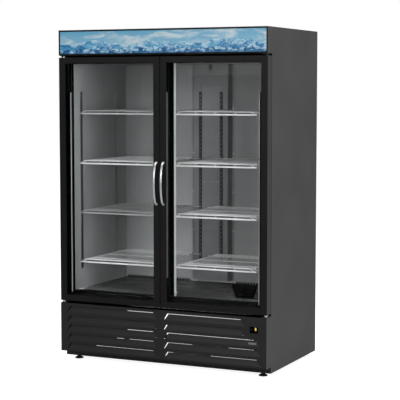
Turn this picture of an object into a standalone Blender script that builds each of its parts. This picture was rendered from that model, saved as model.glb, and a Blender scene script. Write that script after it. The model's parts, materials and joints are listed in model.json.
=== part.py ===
"""Two-door glass merchandiser: an upright refrigerated display cabinet.

Units are metres. +Z is up, the doors face -Y, +X is the right-hand side seen from the front.
The origin is on the floor, at the centre of the overall box.
"""
import math

import bmesh
import bpy
from mathutils import Matrix, Vector

# ---------------------------------------------------------------- driving dimensions
WIDTH = 1.372                      # outside, across the side panels
HEIGHT = 2.033                     # floor to the top panel
BODY_DEPTH = 0.825                 # door face to back panel
HANDLE_REACH = 0.040               # how far the handles stand in front of the doors
FRONT_DEPTH = 0.067                # door with its gasket, header and kick panel in front of the body
SHEET = 0.002                      # folded sheet steel
GAP = 0.0003                       # between solids that touch

FRONT = -(BODY_DEPTH - HANDLE_REACH) / 2        # plane of the door faces
BACK = FRONT + BODY_DEPTH                       # outer face of the back panel
BODY_FRONT = FRONT + FRONT_DEPTH                # face that the door gaskets meet
HALF = WIDTH / 2
INSIDE = HALF - SHEET - GAP                     # half width between the side panels

BODY_BOTTOM = 0.025
BACK_PANEL_BOTTOM = 0.322
KICK_BOTTOM = 0.062
KICK_TOP = 0.362
DOOR_BOTTOM = 0.377
DOOR_TOP = 1.868
HEADER_BOTTOM = 1.881

# cold compartment
CAVITY_HALF = 0.636
CAVITY_BOTTOM = 0.4255
CAVITY_TOP = 1.838
CAVITY_BACK = FRONT + 0.775
LINER = 0.0012
FOAM_TOP = 0.070
FACE_FRAME = 0.003
MULLION_HALF = 0.0325
MULLION_DEPTH = 0.062
LAMP_DEPTH = 0.0337

# doors
STILE = 0.043
RAIL = 0.037
DOOR_DEPTH = 0.045
DOOR_SPLIT = 0.0015                # half the gap between the two doors
LIP_DEPTH = 0.0085                 # frame lip in front of the glass
REBATE = 0.008
GLASS_DEPTH = 0.022
GASKET_INSET = 0.016
GASKET_INNER = 0.0405
HINGE_INSET = 0.014                # hinge axis in from the outer edge of the door
HINGE_SETBACK = 0.022              # hinge axis behind the door face
PIN_RADIUS = 0.005
PIN_CLEARANCE = 0.0002
PIN_ENGAGEMENT = 0.020
STRIP_BOTTOM = 0.425
STRIP_TOP = 1.660

# handles
HANDLE_X = 0.0230
HANDLE_BOTTOM = 0.990
HANDLE_TOP = 1.249
HANDLE_RADIUS = 0.0065

# shelves
SHELF_WIDTH = 0.520
SHELF_CENTRES = {"left": -0.364, "right": 0.286}
SHELF_FRONT = FRONT + 0.163
SHELF_BACK = FRONT + 0.728
SHELF_TOPS = (1.546, 1.237, 0.929, 0.620)
SHELF_THICK = 0.006
SHELF_LIP = 0.028
SHELF_SLOTS = 9

# shelf standards
STANDARD_BOTTOM = 0.557
STANDARD_TOP = 1.660
STANDARD_WIDTH = 0.018
STANDARD_THICK = 0.006
CLIP_HEIGHT = 0.006
CLIP_WIDTH = 0.010
CLIP_BEARING = 0.012               # how far a clip reaches under the shelf
STANDARD_FRONT_Y = FRONT + 0.180
STANDARD_REAR_Y = FRONT + 0.635
DUCT_HALF = 0.118
DUCT_FRONT = FRONT + 0.737
DUCT_STANDARD_X = 0.073

# louvred kick grille
LOUVRE_TOP = 0.344
LOUVRE_PITCH = 0.0577
LOUVRE_HEIGHT = 0.038
LOUVRE_SLANT = 0.022
LOUVRE_SLOT = 0.0035               # gap above a louvre and at its left-hand end
LOUVRE_END = 0.0008                # gap at its right-hand end
LOUVRE_RECESS = 0.009
LOUVRE_COUNT = 5
CONTROLLER = ((0.581, 0.269), (0.630, 0.306))       # bezel corners, x and z
ROCKER = ((0.6114, 0.2814), (0.6246, 0.3032))       # rocker corners, x and z

# header
SIGN_HALF = 0.676
SIGN_BOTTOM = 1.890
SIGN_TOP = 2.023

# machine compartment
RAIL_TOP = 0.048
RAIL_WIDTH = 0.028
FOOT_RADIUS = 0.026
FOOT_X = 0.620
FOOT_FRONT_Y = FRONT + 0.110
FOOT_REAR_Y = FRONT + 0.735
STEM_RADIUS = 0.006
UNIT_CENTRE_X = 0.545              # condensing unit, rear right
FAN_RADIUS = 0.085
FAN_AXIS_Z = 0.200

# ---------------------------------------------------------------- scene and materials
for old in list(bpy.data.objects):
    bpy.data.objects.remove(old, do_unlink=True)

parts = bpy.data.collections.new("glass_door_merchandiser")
cutters = bpy.data.collections.new("cutters")
for group in (parts, cutters):
    bpy.context.scene.collection.children.link(group)

LOOKS = {                          # colour, roughness, metallic
    "side_grey": ((0.085, 0.085, 0.088), 0.55, 0.0),
    "frame_black": ((0.014, 0.014, 0.015), 0.45, 0.0),
    "grille_black": ((0.022, 0.022, 0.024), 0.50, 0.0),
    "liner_grey": ((0.30, 0.30, 0.31), 0.35, 0.3),
    "foam": ((0.75, 0.62, 0.35), 0.90, 0.0),
    "shelf_white": ((0.72, 0.72, 0.72), 0.35, 0.0),
    "standard_dark": ((0.05, 0.05, 0.052), 0.45, 0.4),
    "aluminium": ((0.78, 0.78, 0.78), 0.25, 1.0),
    "zinc": ((0.60, 0.60, 0.62), 0.40, 1.0),
    "glass": ((0.80, 0.86, 0.86), 0.05, 0.0),
    "rubber": ((0.010, 0.010, 0.010), 0.75, 0.0),
    "diffuser": ((0.85, 0.87, 0.88), 0.40, 0.0),
    "sign": ((0.25, 0.52, 0.72), 0.30, 0.0),
    "compressor_black": ((0.012, 0.012, 0.013), 0.30, 0.0),
    "plastic_black": ((0.016, 0.016, 0.016), 0.50, 0.0),
    "rocker_yellow": ((0.85, 0.55, 0.08), 0.35, 0.0),
    "copper": ((0.72, 0.36, 0.20), 0.30, 1.0),
}


def material(name):
    """The named material, made on first use."""
    if name in bpy.data.materials:
        return bpy.data.materials[name]
    colour, roughness, metallic = LOOKS[name]
    made = bpy.data.materials.new(name)
    made.use_nodes = True
    shader = made.node_tree.nodes["Principled BSDF"]
    shader.inputs["Base Color"].default_value = (*colour, 1.0)
    shader.inputs["Roughness"].default_value = roughness
    shader.inputs["Metallic"].default_value = metallic
    made.diffuse_color = (*colour, 1.0)
    return made


# ---------------------------------------------------------------- building blocks
def place(name, mesh, look):
    """Put a mesh in the parts collection, or in the cutters when it has no look."""
    obj = bpy.data.objects.new(name, mesh)
    if look is None:
        cutters.objects.link(obj)
        obj.hide_render = True
        obj.display_type = "WIRE"
    else:
        parts.objects.link(obj)
        mesh.materials.append(material(look))
    return obj


def boxes(name, spans, look=None):
    """One mesh of boxes, each given by its low and high corners."""
    bm = bmesh.new()
    for low, high in spans:
        low, high = Vector(low), Vector(high)
        made = bmesh.ops.create_cube(bm, size=1.0)["verts"]
        bmesh.ops.scale(bm, verts=made, vec=high - low)
        bmesh.ops.translate(bm, verts=made, vec=(low + high) / 2)
    mesh = bpy.data.meshes.new(name)
    bm.to_mesh(mesh)
    bm.free()
    return place(name, mesh, look)


def box(name, low, high, look=None):
    return boxes(name, [(low, high)], look)


AXES = {
    "X": Matrix(((0, 0, 1), (1, 0, 0), (0, 1, 0))).to_4x4(),
    "Y": Matrix(((1, 0, 0), (0, 0, -1), (0, 1, 0))).to_4x4(),
    "Z": Matrix.Identity(4),
}


def cylinders(name, spans, look=None, sides=24):
    """One mesh of cylinders, each given by centre, axis letter, radius and length."""
    bm = bmesh.new()
    for centre, axis, radius, length in spans:
        made = bmesh.ops.create_cone(bm, cap_ends=True, segments=sides,
                                     radius1=radius, radius2=radius, depth=length)["verts"]
        bmesh.ops.transform(bm, verts=made, matrix=Matrix.Translation(centre) @ AXES[axis])
    mesh = bpy.data.meshes.new(name)
    bm.to_mesh(mesh)
    bm.free()
    obj = place(name, mesh, look)
    mesh.shade_smooth()
    mesh.set_sharp_from_angle(angle=math.radians(40))
    return obj


def plates(name, outlines, axis, low, high, look=None):
    """Flat outlines extruded along an axis, from low to high.

    Outline points are (y, z) for axis X, (x, z) for axis Y and (x, y) for axis Z.
    """
    curve = bpy.data.curves.new(name, "CURVE")
    curve.dimensions = "2D"
    curve.fill_mode = "BOTH"
    curve.extrude = (high - low) / 2
    for outline in outlines:
        spline = curve.splines.new("POLY")
        spline.points.add(len(outline) - 1)
        for point, (u, v) in zip(spline.points, outline):
            point.co = (u, v, 0.0, 1.0)
        spline.use_cyclic_u = True
    guide = bpy.data.objects.new(name + "_outline", curve)
    cutters.objects.link(guide)
    middle = {"X": Vector((1, 0, 0)), "Y": Vector((0, 1, 0)), "Z": Vector((0, 0, 1))}[axis]
    matrix = Matrix.Translation(middle * (low + high) / 2) @ AXES[axis]
    return welded(name, guide, matrix, look)


def welded(name, guide, matrix, look=None):
    """Turn a curve object into a closed mesh object in world space."""
    bpy.context.view_layer.update()
    evaluated = guide.evaluated_get(bpy.context.evaluated_depsgraph_get())
    mesh = bpy.data.meshes.new_from_object(evaluated)
    bpy.data.objects.remove(guide, do_unlink=True)
    bm = bmesh.new()
    bm.from_mesh(mesh)
    bmesh.ops.remove_doubles(bm, verts=bm.verts, dist=0.00001)
    bmesh.ops.transform(bm, verts=bm.verts, matrix=matrix)
    bmesh.ops.recalc_face_normals(bm, faces=bm.faces)
    bm.to_mesh(mesh)
    bm.free()
    mesh.materials.clear()
    return place(name, mesh, look)


def combine(obj, other, operation):
    """Boolean with another object, which is kept as a hidden cutter."""
    modifier = obj.modifiers.new(other.name, "BOOLEAN")
    modifier.operation = operation
    modifier.solver = "EXACT"
    modifier.use_self = operation == "UNION"
    modifier.object = other
    return obj


def cut(obj, other):
    return combine(obj, other, "DIFFERENCE")


def join(obj, other):
    return combine(obj, other, "UNION")


def bar(name, points, radius, look, resolution=3):
    """A round bar along a smooth row of points, with closed ends."""
    curve = bpy.data.curves.new(name, "CURVE")
    curve.dimensions = "3D"
    curve.bevel_depth = radius
    curve.bevel_resolution = resolution
    curve.use_fill_caps = True
    spline = curve.splines.new("POLY")
    spline.points.add(len(points) - 1)
    for point, position in zip(spline.points, points):
        point.co = (*position, 1.0)
    obj = bpy.data.objects.new(name, curve)
    parts.objects.link(obj)
    curve.materials.append(material(look))
    return obj


def pivot(name, position):
    """An empty on a joint's axis."""
    empty = bpy.data.objects.new(name, None)
    empty.location = position
    parts.objects.link(empty)
    return empty


def hang(empty, *children):
    """Parent finished pieces to a joint's empty without moving them."""
    bpy.context.view_layer.update()
    for child in children:
        child.parent = empty
        child.matrix_parent_inverse = empty.matrix_world.inverted()


# ---------------------------------------------------------------- outer skins
def outer_skins():
    """Side panels with the header and kick zones brought forward, top and back."""
    profile = [(BODY_FRONT, BODY_BOTTOM), (BODY_FRONT, KICK_BOTTOM), (FRONT, KICK_BOTTOM),
               (FRONT, KICK_TOP), (BODY_FRONT, KICK_TOP), (BODY_FRONT, HEADER_BOTTOM),
               (FRONT, HEADER_BOTTOM), (FRONT, HEIGHT), (BACK, HEIGHT), (BACK, BODY_BOTTOM)]
    plates("side_panel_left", [profile], "X", -HALF, -HALF + SHEET, "side_grey")
    plates("side_panel_right", [profile], "X", HALF - SHEET, HALF, "side_grey")
    folded = [(FRONT, HEIGHT), (BACK, HEIGHT), (BACK, BACK_PANEL_BOTTOM),
              (BACK - SHEET, BACK_PANEL_BOTTOM), (BACK - SHEET, HEIGHT - SHEET), (FRONT, HEIGHT - SHEET)]
    plates("top_and_back_panel", [folded], "X", -INSIDE, INSIDE, "side_grey")


def insulation_and_liner():
    """Foamed-in-place insulation and the thin inner liner, two open-fronted tubs."""
    front_y = BODY_FRONT + FACE_FRAME + GAP
    for name, wall, look in (("insulation", None, "foam"), ("liner", LINER, "liner_grey")):
        if wall is None:
            low = (-INSIDE, front_y, KICK_TOP + 2 * GAP)
            high = (INSIDE, BACK - SHEET - GAP, CAVITY_TOP + FOAM_TOP)
            gap = LINER + GAP
        else:
            low = (-CAVITY_HALF - wall, front_y, CAVITY_BOTTOM - wall)
            high = (CAVITY_HALF + wall, CAVITY_BACK + wall, CAVITY_TOP + wall)
            gap = 0.0
        tub = box(name, low, high, look)
        cut(tub, box(name + "_hollow", (-CAVITY_HALF - gap, front_y - 0.05, CAVITY_BOTTOM - gap),
                     (CAVITY_HALF + gap, CAVITY_BACK + gap, CAVITY_TOP + gap)))


def face_frame():
    """Black frame on the body's front face, which the gaskets seal against."""
    frame = box("face_frame", (-INSIDE, BODY_FRONT, KICK_TOP + 2 * GAP),
                (INSIDE, BODY_FRONT + FACE_FRAME, HEADER_BOTTOM - 2 * GAP), "frame_black")
    opening = box("face_opening", (-CAVITY_HALF, BODY_FRONT - 0.05, CAVITY_BOTTOM),
                  (CAVITY_HALF, BODY_FRONT + 0.05, CAVITY_TOP))
    cut(frame, opening)


# ---------------------------------------------------------------- inside the compartment
def mullion():
    """Centre post behind the two doors, with a lamp along its rear."""
    low_z, high_z = CAVITY_BOTTOM + GAP, CAVITY_TOP - GAP
    back_y = BODY_FRONT + MULLION_DEPTH
    box("mullion", (-MULLION_HALF, BODY_FRONT, low_z), (MULLION_HALF, back_y, high_z), "frame_black")
    box("mullion_lamp", (-MULLION_HALF + 0.002, back_y + GAP, low_z + 0.0015),
        (MULLION_HALF - 0.002, back_y + LAMP_DEPTH, high_z - 0.006), "diffuser")


def rear_duct():
    """Shallow air duct up the middle of the rear wall, with outlet slots, and its probe."""
    low = (-DUCT_HALF, DUCT_FRONT, CAVITY_BOTTOM + 0.020)
    high = (DUCT_HALF, CAVITY_BACK - GAP, CAVITY_TOP - GAP)
    duct = box("rear_duct", low, high, "liner_grey")
    hollow = box("duct_hollow", (low[0] + SHEET, low[1] + SHEET, low[2] + SHEET),
                 (high[0] - SHEET, high[1] + 0.01, high[2] - SHEET))
    cut(duct, hollow)
    slot_spans = []
    for row in range(4):
        z = SHELF_TOPS[row] + 0.150
        for side in (-1, 0, 1):
            x = side * 0.045
            slot_spans.append(((x - 0.016, low[1] - 0.01, z), (x + 0.016, low[1] + 0.01, z + 0.006)))
    cut(duct, boxes("duct_slots", slot_spans))
    box("temperature_probe", (-0.013, DUCT_FRONT - 0.024, CAVITY_TOP - 0.042),
        (0.011, DUCT_FRONT - GAP, CAVITY_TOP - 0.004), "plastic_black")


def shelf_standard(name, wall, outward, low_clip, high_clip, slot_axis):
    """One upright standard with a clip under each shelf.

    wall and outward give the plate's low and high corners in plan; low_clip and high_clip are
    the plan corners of each clip.
    """
    (x0, y0), (x1, y1) = wall, outward
    post = box(name, (x0, y0, STANDARD_BOTTOM), (x1, y1, STANDARD_TOP), "standard_dark")
    clips = []
    for top in SHELF_TOPS:
        clip_top = top - SHELF_THICK - GAP
        clips.append(((*low_clip, clip_top - CLIP_HEIGHT), (*high_clip, clip_top)))
    join(post, boxes(name + "_clips", clips))
    pitch = 0.0515
    count = int((STANDARD_TOP - STANDARD_BOTTOM) / pitch)
    slots = []
    for index in range(count):
        z = STANDARD_BOTTOM + pitch * (index + 0.62)
        if min(abs(z - top) for top in SHELF_TOPS) < 0.022:
            continue
        if slot_axis == "X":
            y = (y0 + y1) / 2
            slots.append(((x0 - 0.001, y - 0.003, z), (x1 + 0.001, y + 0.003, z + 0.010)))
        else:
            x = (x0 + x1) / 2
            slots.append(((x - 0.003, y0 - 0.001, z), (x + 0.003, y1 + 0.001, z + 0.010)))
    cut(post, boxes(name + "_slots", slots))


def shelf_standards():
    """Eight standards: two on each side wall, two on the mullion's sides, two on the duct."""
    half = STANDARD_WIDTH / 2
    edges = {side: (centre - SHELF_WIDTH / 2, centre + SHELF_WIDTH / 2)
             for side, centre in SHELF_CENTRES.items()}
    for place_name, y in (("front", STANDARD_FRONT_Y), ("rear", STANDARD_REAR_Y)):
        inner = -CAVITY_HALF + GAP
        shelf_standard("standard_left_" + place_name,
                       (inner, y - half), (inner + STANDARD_THICK, y + half),
                       (inner + 0.001, y - CLIP_WIDTH / 2),
                       (edges["left"][0] + CLIP_BEARING, y + CLIP_WIDTH / 2), "X")
        inner = CAVITY_HALF - GAP
        shelf_standard("standard_right_" + place_name,
                       (inner - STANDARD_THICK, y - half), (inner, y + half),
                       (edges["right"][1] - CLIP_BEARING, y - CLIP_WIDTH / 2),
                       (inner - 0.001, y + CLIP_WIDTH / 2), "X")
    # behind the mullion's lamp, standing on its rear face; the clips pass behind the shelf lips
    back_y = BODY_FRONT + MULLION_DEPTH + LAMP_DEPTH + GAP
    rear_y = back_y + 1.5 * STANDARD_THICK
    clip_y0 = SHELF_FRONT + SHELF_THICK + 2 * GAP
    clip_y1 = clip_y0 + CLIP_WIDTH
    shelf_standard("standard_centre_front_left", (-0.026, back_y), (-0.008, rear_y),
                   (edges["left"][1] - CLIP_BEARING, clip_y0), (-0.010, clip_y1), "Y")
    shelf_standard("standard_centre_front_right", (0.006, back_y), (0.022, rear_y),
                   (0.008, clip_y0), (edges["right"][0] + CLIP_BEARING, clip_y1), "Y")
    front_y = DUCT_FRONT - GAP - STANDARD_THICK
    clip_y = SHELF_BACK - CLIP_BEARING
    for side, sign in (("left", -1), ("right", 1)):
        x = sign * DUCT_STANDARD_X
        reach = (edges["left"][1] - CLIP_BEARING, x + half - 0.001)
        if side == "right":
            reach = (x - half + 0.001, x + half - 0.001)
        shelf_standard("standard_duct_" + side,
                       (x - half, front_y), (x + half, front_y + STANDARD_THICK),
                       (reach[0], clip_y), (reach[1], front_y + 0.002), "Y")


def shelves():
    """Eight slatted shelves with a lip along the front, each lifting off its clips."""
    for side, centre in SHELF_CENTRES.items():
        for number, top in enumerate(SHELF_TOPS, start=1):
            name = f"shelf_{side}_{number}"
            x0, x1 = centre - SHELF_WIDTH / 2, centre + SHELF_WIDTH / 2
            profile = [(SHELF_FRONT, top), (SHELF_FRONT, top - SHELF_LIP),
                       (SHELF_FRONT + SHELF_THICK, top - SHELF_LIP),
                       (SHELF_FRONT + SHELF_THICK, top - SHELF_THICK),
                       (SHELF_BACK, top - SHELF_THICK), (SHELF_BACK, top)]
            deck = plates(name, [profile], "X", x0, x1, "shelf_white")
            pitch = (SHELF_WIDTH - 0.040) / SHELF_SLOTS
            spans = []
            for index in range(SHELF_SLOTS):
                x = x0 + 0.020 + pitch * (index + 0.5)
                spans.append(((x - 0.017, SHELF_FRONT + 0.030, top - 0.010),
                              (x + 0.017, SHELF_BACK - 0.030, top + 0.010)))
            cut(deck, boxes(name + "_slots", spans))
            hang(pivot(name + "_lift", (centre, (SHELF_FRONT + SHELF_BACK) / 2, top)), deck)


def circulation_fan():
    """Shallow tapered cowl on the compartment floor with a small fan inside it."""
    x_mid, y0, y1 = 0.436, FRONT + 0.250, FRONT + 0.280
    z0, z1 = CAVITY_BOTTOM + GAP, CAVITY_BOTTOM + 0.080
    top_half, bottom_half, wall = 0.080, 0.054, 0.003
    outer = [(x_mid - bottom_half, z0), (x_mid + bottom_half, z0),
             (x_mid + top_half, z1), (x_mid - top_half, z1)]
    inner = [(x_mid - bottom_half + 0.004, z0 + wall), (x_mid + bottom_half - 0.004, z0 + wall),
             (x_mid + top_half - 0.004, z1 - wall), (x_mid - top_half + 0.004, z1 - wall)]
    cowl = plates("fan_cowl", [outer], "Y", y0, y1, "plastic_black")
    cut(cowl, plates("cowl_hollow", [inner], "Y", y0 + wall, y1 + 0.02))
    middle = (z0 + z1) / 2
    slot_spans = []
    for index in range(11):
        x = x_mid + (index - 5) * 0.009
        slot_spans.append(((x - 0.0030, y0 - 0.01, z0 + 0.012), (x + 0.0030, y0 + 0.01, z1 - 0.012)))
    cut(cowl, boxes("cowl_slots", slot_spans))
    join(cowl, boxes("cowl_motor", [
        ((x_mid - 0.066, y0 + 0.023, middle - 0.005), (x_mid + 0.066, y0 + 0.028, middle + 0.005)),
        ((x_mid - 0.012, y0 + 0.021, middle - 0.012), (x_mid + 0.012, y0 + 0.044, middle + 0.012))]))
    fan_rotor("circulation_fan", (x_mid, y0 + 0.013, middle), 0.030, 0.011, 0.012, "plastic_black")


def fan_rotor(name, centre, radius, hub_radius, thickness, look):
    """A hub and four pitched blades that turn about Y."""
    hub = cylinders(name, [(centre, "Y", hub_radius, thickness)], look)
    bm = bmesh.new()
    for index in range(4):
        made = bmesh.ops.create_cube(bm, size=1.0)["verts"]
        length = radius - hub_radius * 0.6
        bmesh.ops.scale(bm, verts=made, vec=(radius * 0.55, thickness * 0.12, length))
        matrix = (Matrix.Translation(centre) @ Matrix.Rotation(index * math.pi / 2, 4, "Y")
                  @ Matrix.Translation((0, 0, hub_radius * 0.6 + length / 2))
                  @ Matrix.Rotation(math.radians(28), 4, "Z"))
        bmesh.ops.transform(bm, verts=made, matrix=matrix)
    mesh = bpy.data.meshes.new(name + "_blades")
    bm.to_mesh(mesh)
    bm.free()
    join(hub, place(name + "_blades", mesh, None))
    hang(pivot(name + "_spin", centre), hub)


# ---------------------------------------------------------------- header
def header():
    """Sign box above the doors: an open-fronted tray, its sign panel and a lamp bar."""
    top = HEIGHT - SHEET - GAP
    tray = box("header_box", (-INSIDE, FRONT, HEADER_BOTTOM), (INSIDE, BODY_FRONT - GAP, top),
               "frame_black")
    cut(tray, box("header_pocket", (-SIGN_HALF, FRONT - 0.01, SIGN_BOTTOM),
                  (SIGN_HALF, BODY_FRONT - 0.006, SIGN_TOP)))
    box("sign_panel", (-SIGN_HALF + GAP, FRONT + 0.0015, SIGN_BOTTOM + GAP),
        (SIGN_HALF - GAP, FRONT + 0.0055, SIGN_TOP - GAP), "sign")
    middle = (SIGN_BOTTOM + SIGN_TOP) / 2
    box("sign_lamp", (-0.620, BODY_FRONT - 0.020, middle - 0.008),
        (0.620, BODY_FRONT - 0.006 - GAP, middle + 0.008), "diffuser")


# ---------------------------------------------------------------- kick grille and controller
def louvre_rows():
    """The louvre openings: (left x, right x, top z) of each trapezoid's long lower edge."""
    rows = []
    for index in range(LOUVRE_COUNT):
        z = LOUVRE_TOP - LOUVRE_PITCH * index
        rows.append((-0.641, -0.0245, z))
        rows.append((0.0255, 0.543 if index < 2 else 0.645, z))
    return rows


def kick_grille():
    """Folded front panel with pressed louvres whose tops lean inward, leaving a slot above."""
    z0, z1 = KICK_BOTTOM, KICK_TOP
    profile = [(FRONT, z0), (FRONT, z1), (BODY_FRONT - GAP, z1), (BODY_FRONT - GAP, z1 - SHEET),
               (FRONT + SHEET, z1 - SHEET), (FRONT + SHEET, z0 + SHEET),
               (FRONT + 0.030, z0 + SHEET), (FRONT + 0.030, z0)]
    panel = plates("kick_grille", [profile], "X", -INSIDE, INSIDE, "grille_black")
    openings, blades = [], []
    for left, right, top in louvre_rows():
        bottom = top - LOUVRE_HEIGHT
        openings.append([(left, bottom), (right, bottom), (right - LOUVRE_SLANT, top),
                         (left + LOUVRE_SLANT, top)])
        blades.append([(left + LOUVRE_SLOT, bottom - 0.0015), (right - LOUVRE_END, bottom - 0.0015),
                       (right - LOUVRE_SLANT - LOUVRE_END, top - LOUVRE_SLOT),
                       (left + LOUVRE_SLANT + LOUVRE_SLOT, top - LOUVRE_SLOT)])
    cut(panel, plates("louvre_openings", openings, "Y", FRONT - 0.01, FRONT + 0.01))
    leaves = plates("louvre_blades", blades, "Y", FRONT + 0.0002, FRONT + SHEET - 0.0002)
    # lean every blade inward about its lower edge
    for vertex in leaves.data.vertices:
        row = max(0, min(LOUVRE_COUNT - 1, int((LOUVRE_TOP - vertex.co.z) / LOUVRE_PITCH)))
        foot = LOUVRE_TOP - LOUVRE_PITCH * row - LOUVRE_HEIGHT
        vertex.co.y += max(0.0, vertex.co.z - foot) / LOUVRE_HEIGHT * LOUVRE_RECESS
    join(panel, leaves)
    (x0, z_low), (x1, z_high) = CONTROLLER
    cut(panel, box("controller_window", (x0 + 0.002, FRONT - 0.01, z_low + 0.002),
                   (x1 - 0.002, FRONT + 0.01, z_high - 0.002)))


def controller():
    """Controller behind the grille with a bezel, and the rocker switch that tilts in it."""
    (x0, z0), (x1, z1) = CONTROLLER
    margin = 0.002 + GAP
    case = box("controller_case", (x0 + margin, FRONT - 0.001, z0 + margin),
               (x1 - margin, FRONT + 0.040, z1 - margin), "plastic_black")
    join(case, box("controller_bezel", (x0, FRONT - 0.003, z0), (x1, FRONT - GAP, z1)))
    (rx0, rz0), (rx1, rz1) = ROCKER
    cut(case, box("rocker_pocket", (rx0 - 0.0008, FRONT - 0.02, rz0 - 0.0012),
                  (rx1 + 0.0008, FRONT + 0.014, rz1 + 0.0012)))
    axis_y, axis_z = FRONT + 0.006, (rz0 + rz1) / 2
    half = (rz1 - rz0) / 2
    tilt = math.radians(-7)
    profile = []
    for along, out in ((-half, -0.0085), (0.0, -0.0065), (half, -0.0085), (half * 0.62, 0.0035),
                       (-half * 0.62, 0.0035)):
        y = out * math.cos(tilt) - along * math.sin(tilt)
        z = out * math.sin(tilt) + along * math.cos(tilt)
        profile.append((axis_y + y, axis_z + z * 0.97))
    rocker = plates("rocker_switch", [profile], "X", rx0, rx1, "rocker_yellow")
    hang(pivot("rocker_tilt", ((rx0 + rx1) / 2, axis_y, axis_z)), rocker)


# ---------------------------------------------------------------- base and machine compartment
def base_frame():
    """Welded base: a ring of rails, four posts, pan rails and a rear cross bar, bored for the feet."""
    x1 = INSIDE
    y0, y1 = BODY_FRONT + GAP, BACK - 0.0025
    z0, z1, w = BODY_BOTTOM, RAIL_TOP, RAIL_WIDTH
    ring = box("base_frame", (-x1, y0, z0), (x1, y1, z1), "grille_black")
    cut(ring, boxes("base_openings", [
        ((-x1 + w, y0 + w, z0 - 0.01), (-0.055, y1 - w, z1 + 0.01)),
        ((-0.025, y0 + w, z0 - 0.01), (0.130, y1 - w, z1 + 0.01)),
        ((0.155, y0 + w, z0 - 0.01), (x1 - w, 0.012, z1 + 0.01)),
        ((0.155, 0.040, z0 - 0.01), (x1 - w, y1 - w, z1 + 0.01))]))
    posts = []
    for px0, px1 in ((-x1, -x1 + w), (x1 - w, x1)):
        for py0, py1 in ((y0, y0 + w), (y1 - w, y1)):
            posts.append(((px0, py0, z1 - 0.01), (px1, py1, KICK_TOP)))
    join(ring, boxes("base_posts", posts))
    join(ring, box("rear_cross_bar", (-x1 + w / 2, y1 - w + 0.003, 0.116),
                   (x1 - w / 2, y1 - 0.003, 0.150)))
    bores = []
    for x in (-FOOT_X, FOOT_X):
        for y in (FOOT_FRONT_Y, FOOT_REAR_Y):
            bores.append(((x, y, z0 + 0.01), "Z", STEM_RADIUS + 0.0004, 0.080))
    pads = []
    for x in (-FOOT_X, FOOT_X):
        for y in (FOOT_FRONT_Y, FOOT_REAR_Y):
            side = 1 if x > 0 else -1
            low_x, high_x = sorted((side * 0.598, side * (x1 - w / 2)))
            pads.append(((low_x, y - 0.022, z0 + 0.001), (high_x, y + 0.022, z0 + 0.007)))
    join(ring, boxes("foot_pads", pads))
    cut(ring, cylinders("foot_bores", bores, sides=20))


def levelling_feet():
    """Four feet: a disc, a neck and a stem that goes up into the base."""
    stem_top = RAIL_TOP - 0.002
    profile = [(0.0, stem_top), (STEM_RADIUS, stem_top), (STEM_RADIUS, 0.0225), (0.011, 0.0220),
               (0.012, 0.012), (FOOT_RADIUS - 0.003, 0.008), (FOOT_RADIUS, 0.006),
               (FOOT_RADIUS, 0.001), (FOOT_RADIUS - 0.001, 0.0), (0.0, 0.0)]
    for side, x in (("left", -FOOT_X), ("right", FOOT_X)):
        for end, y in (("front", FOOT_FRONT_Y), ("rear", FOOT_REAR_Y)):
            turned(f"foot_{end}_{side}", profile, (x, y, 0.0), "plastic_black")


def turned(name, profile, position, look, sides=24):
    """A solid of revolution about Z from (radius, z) points that run down the outside."""
    mesh = bpy.data.meshes.new(name)
    bm = bmesh.new()
    rows = [bm.verts.new((radius, 0.0, z)) for radius, z in profile]
    for first, second in zip(rows, rows[1:]):
        bm.edges.new((first, second))
    bm.to_mesh(mesh)
    bm.free()
    obj = place(name, mesh, look)
    obj.location = position
    screw = obj.modifiers.new("turn", "SCREW")
    screw.steps = screw.render_steps = sides
    screw.use_merge_vertices = True
    screw.merge_threshold = 0.00005
    screw.use_normal_calculate = False
    return obj


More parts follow.
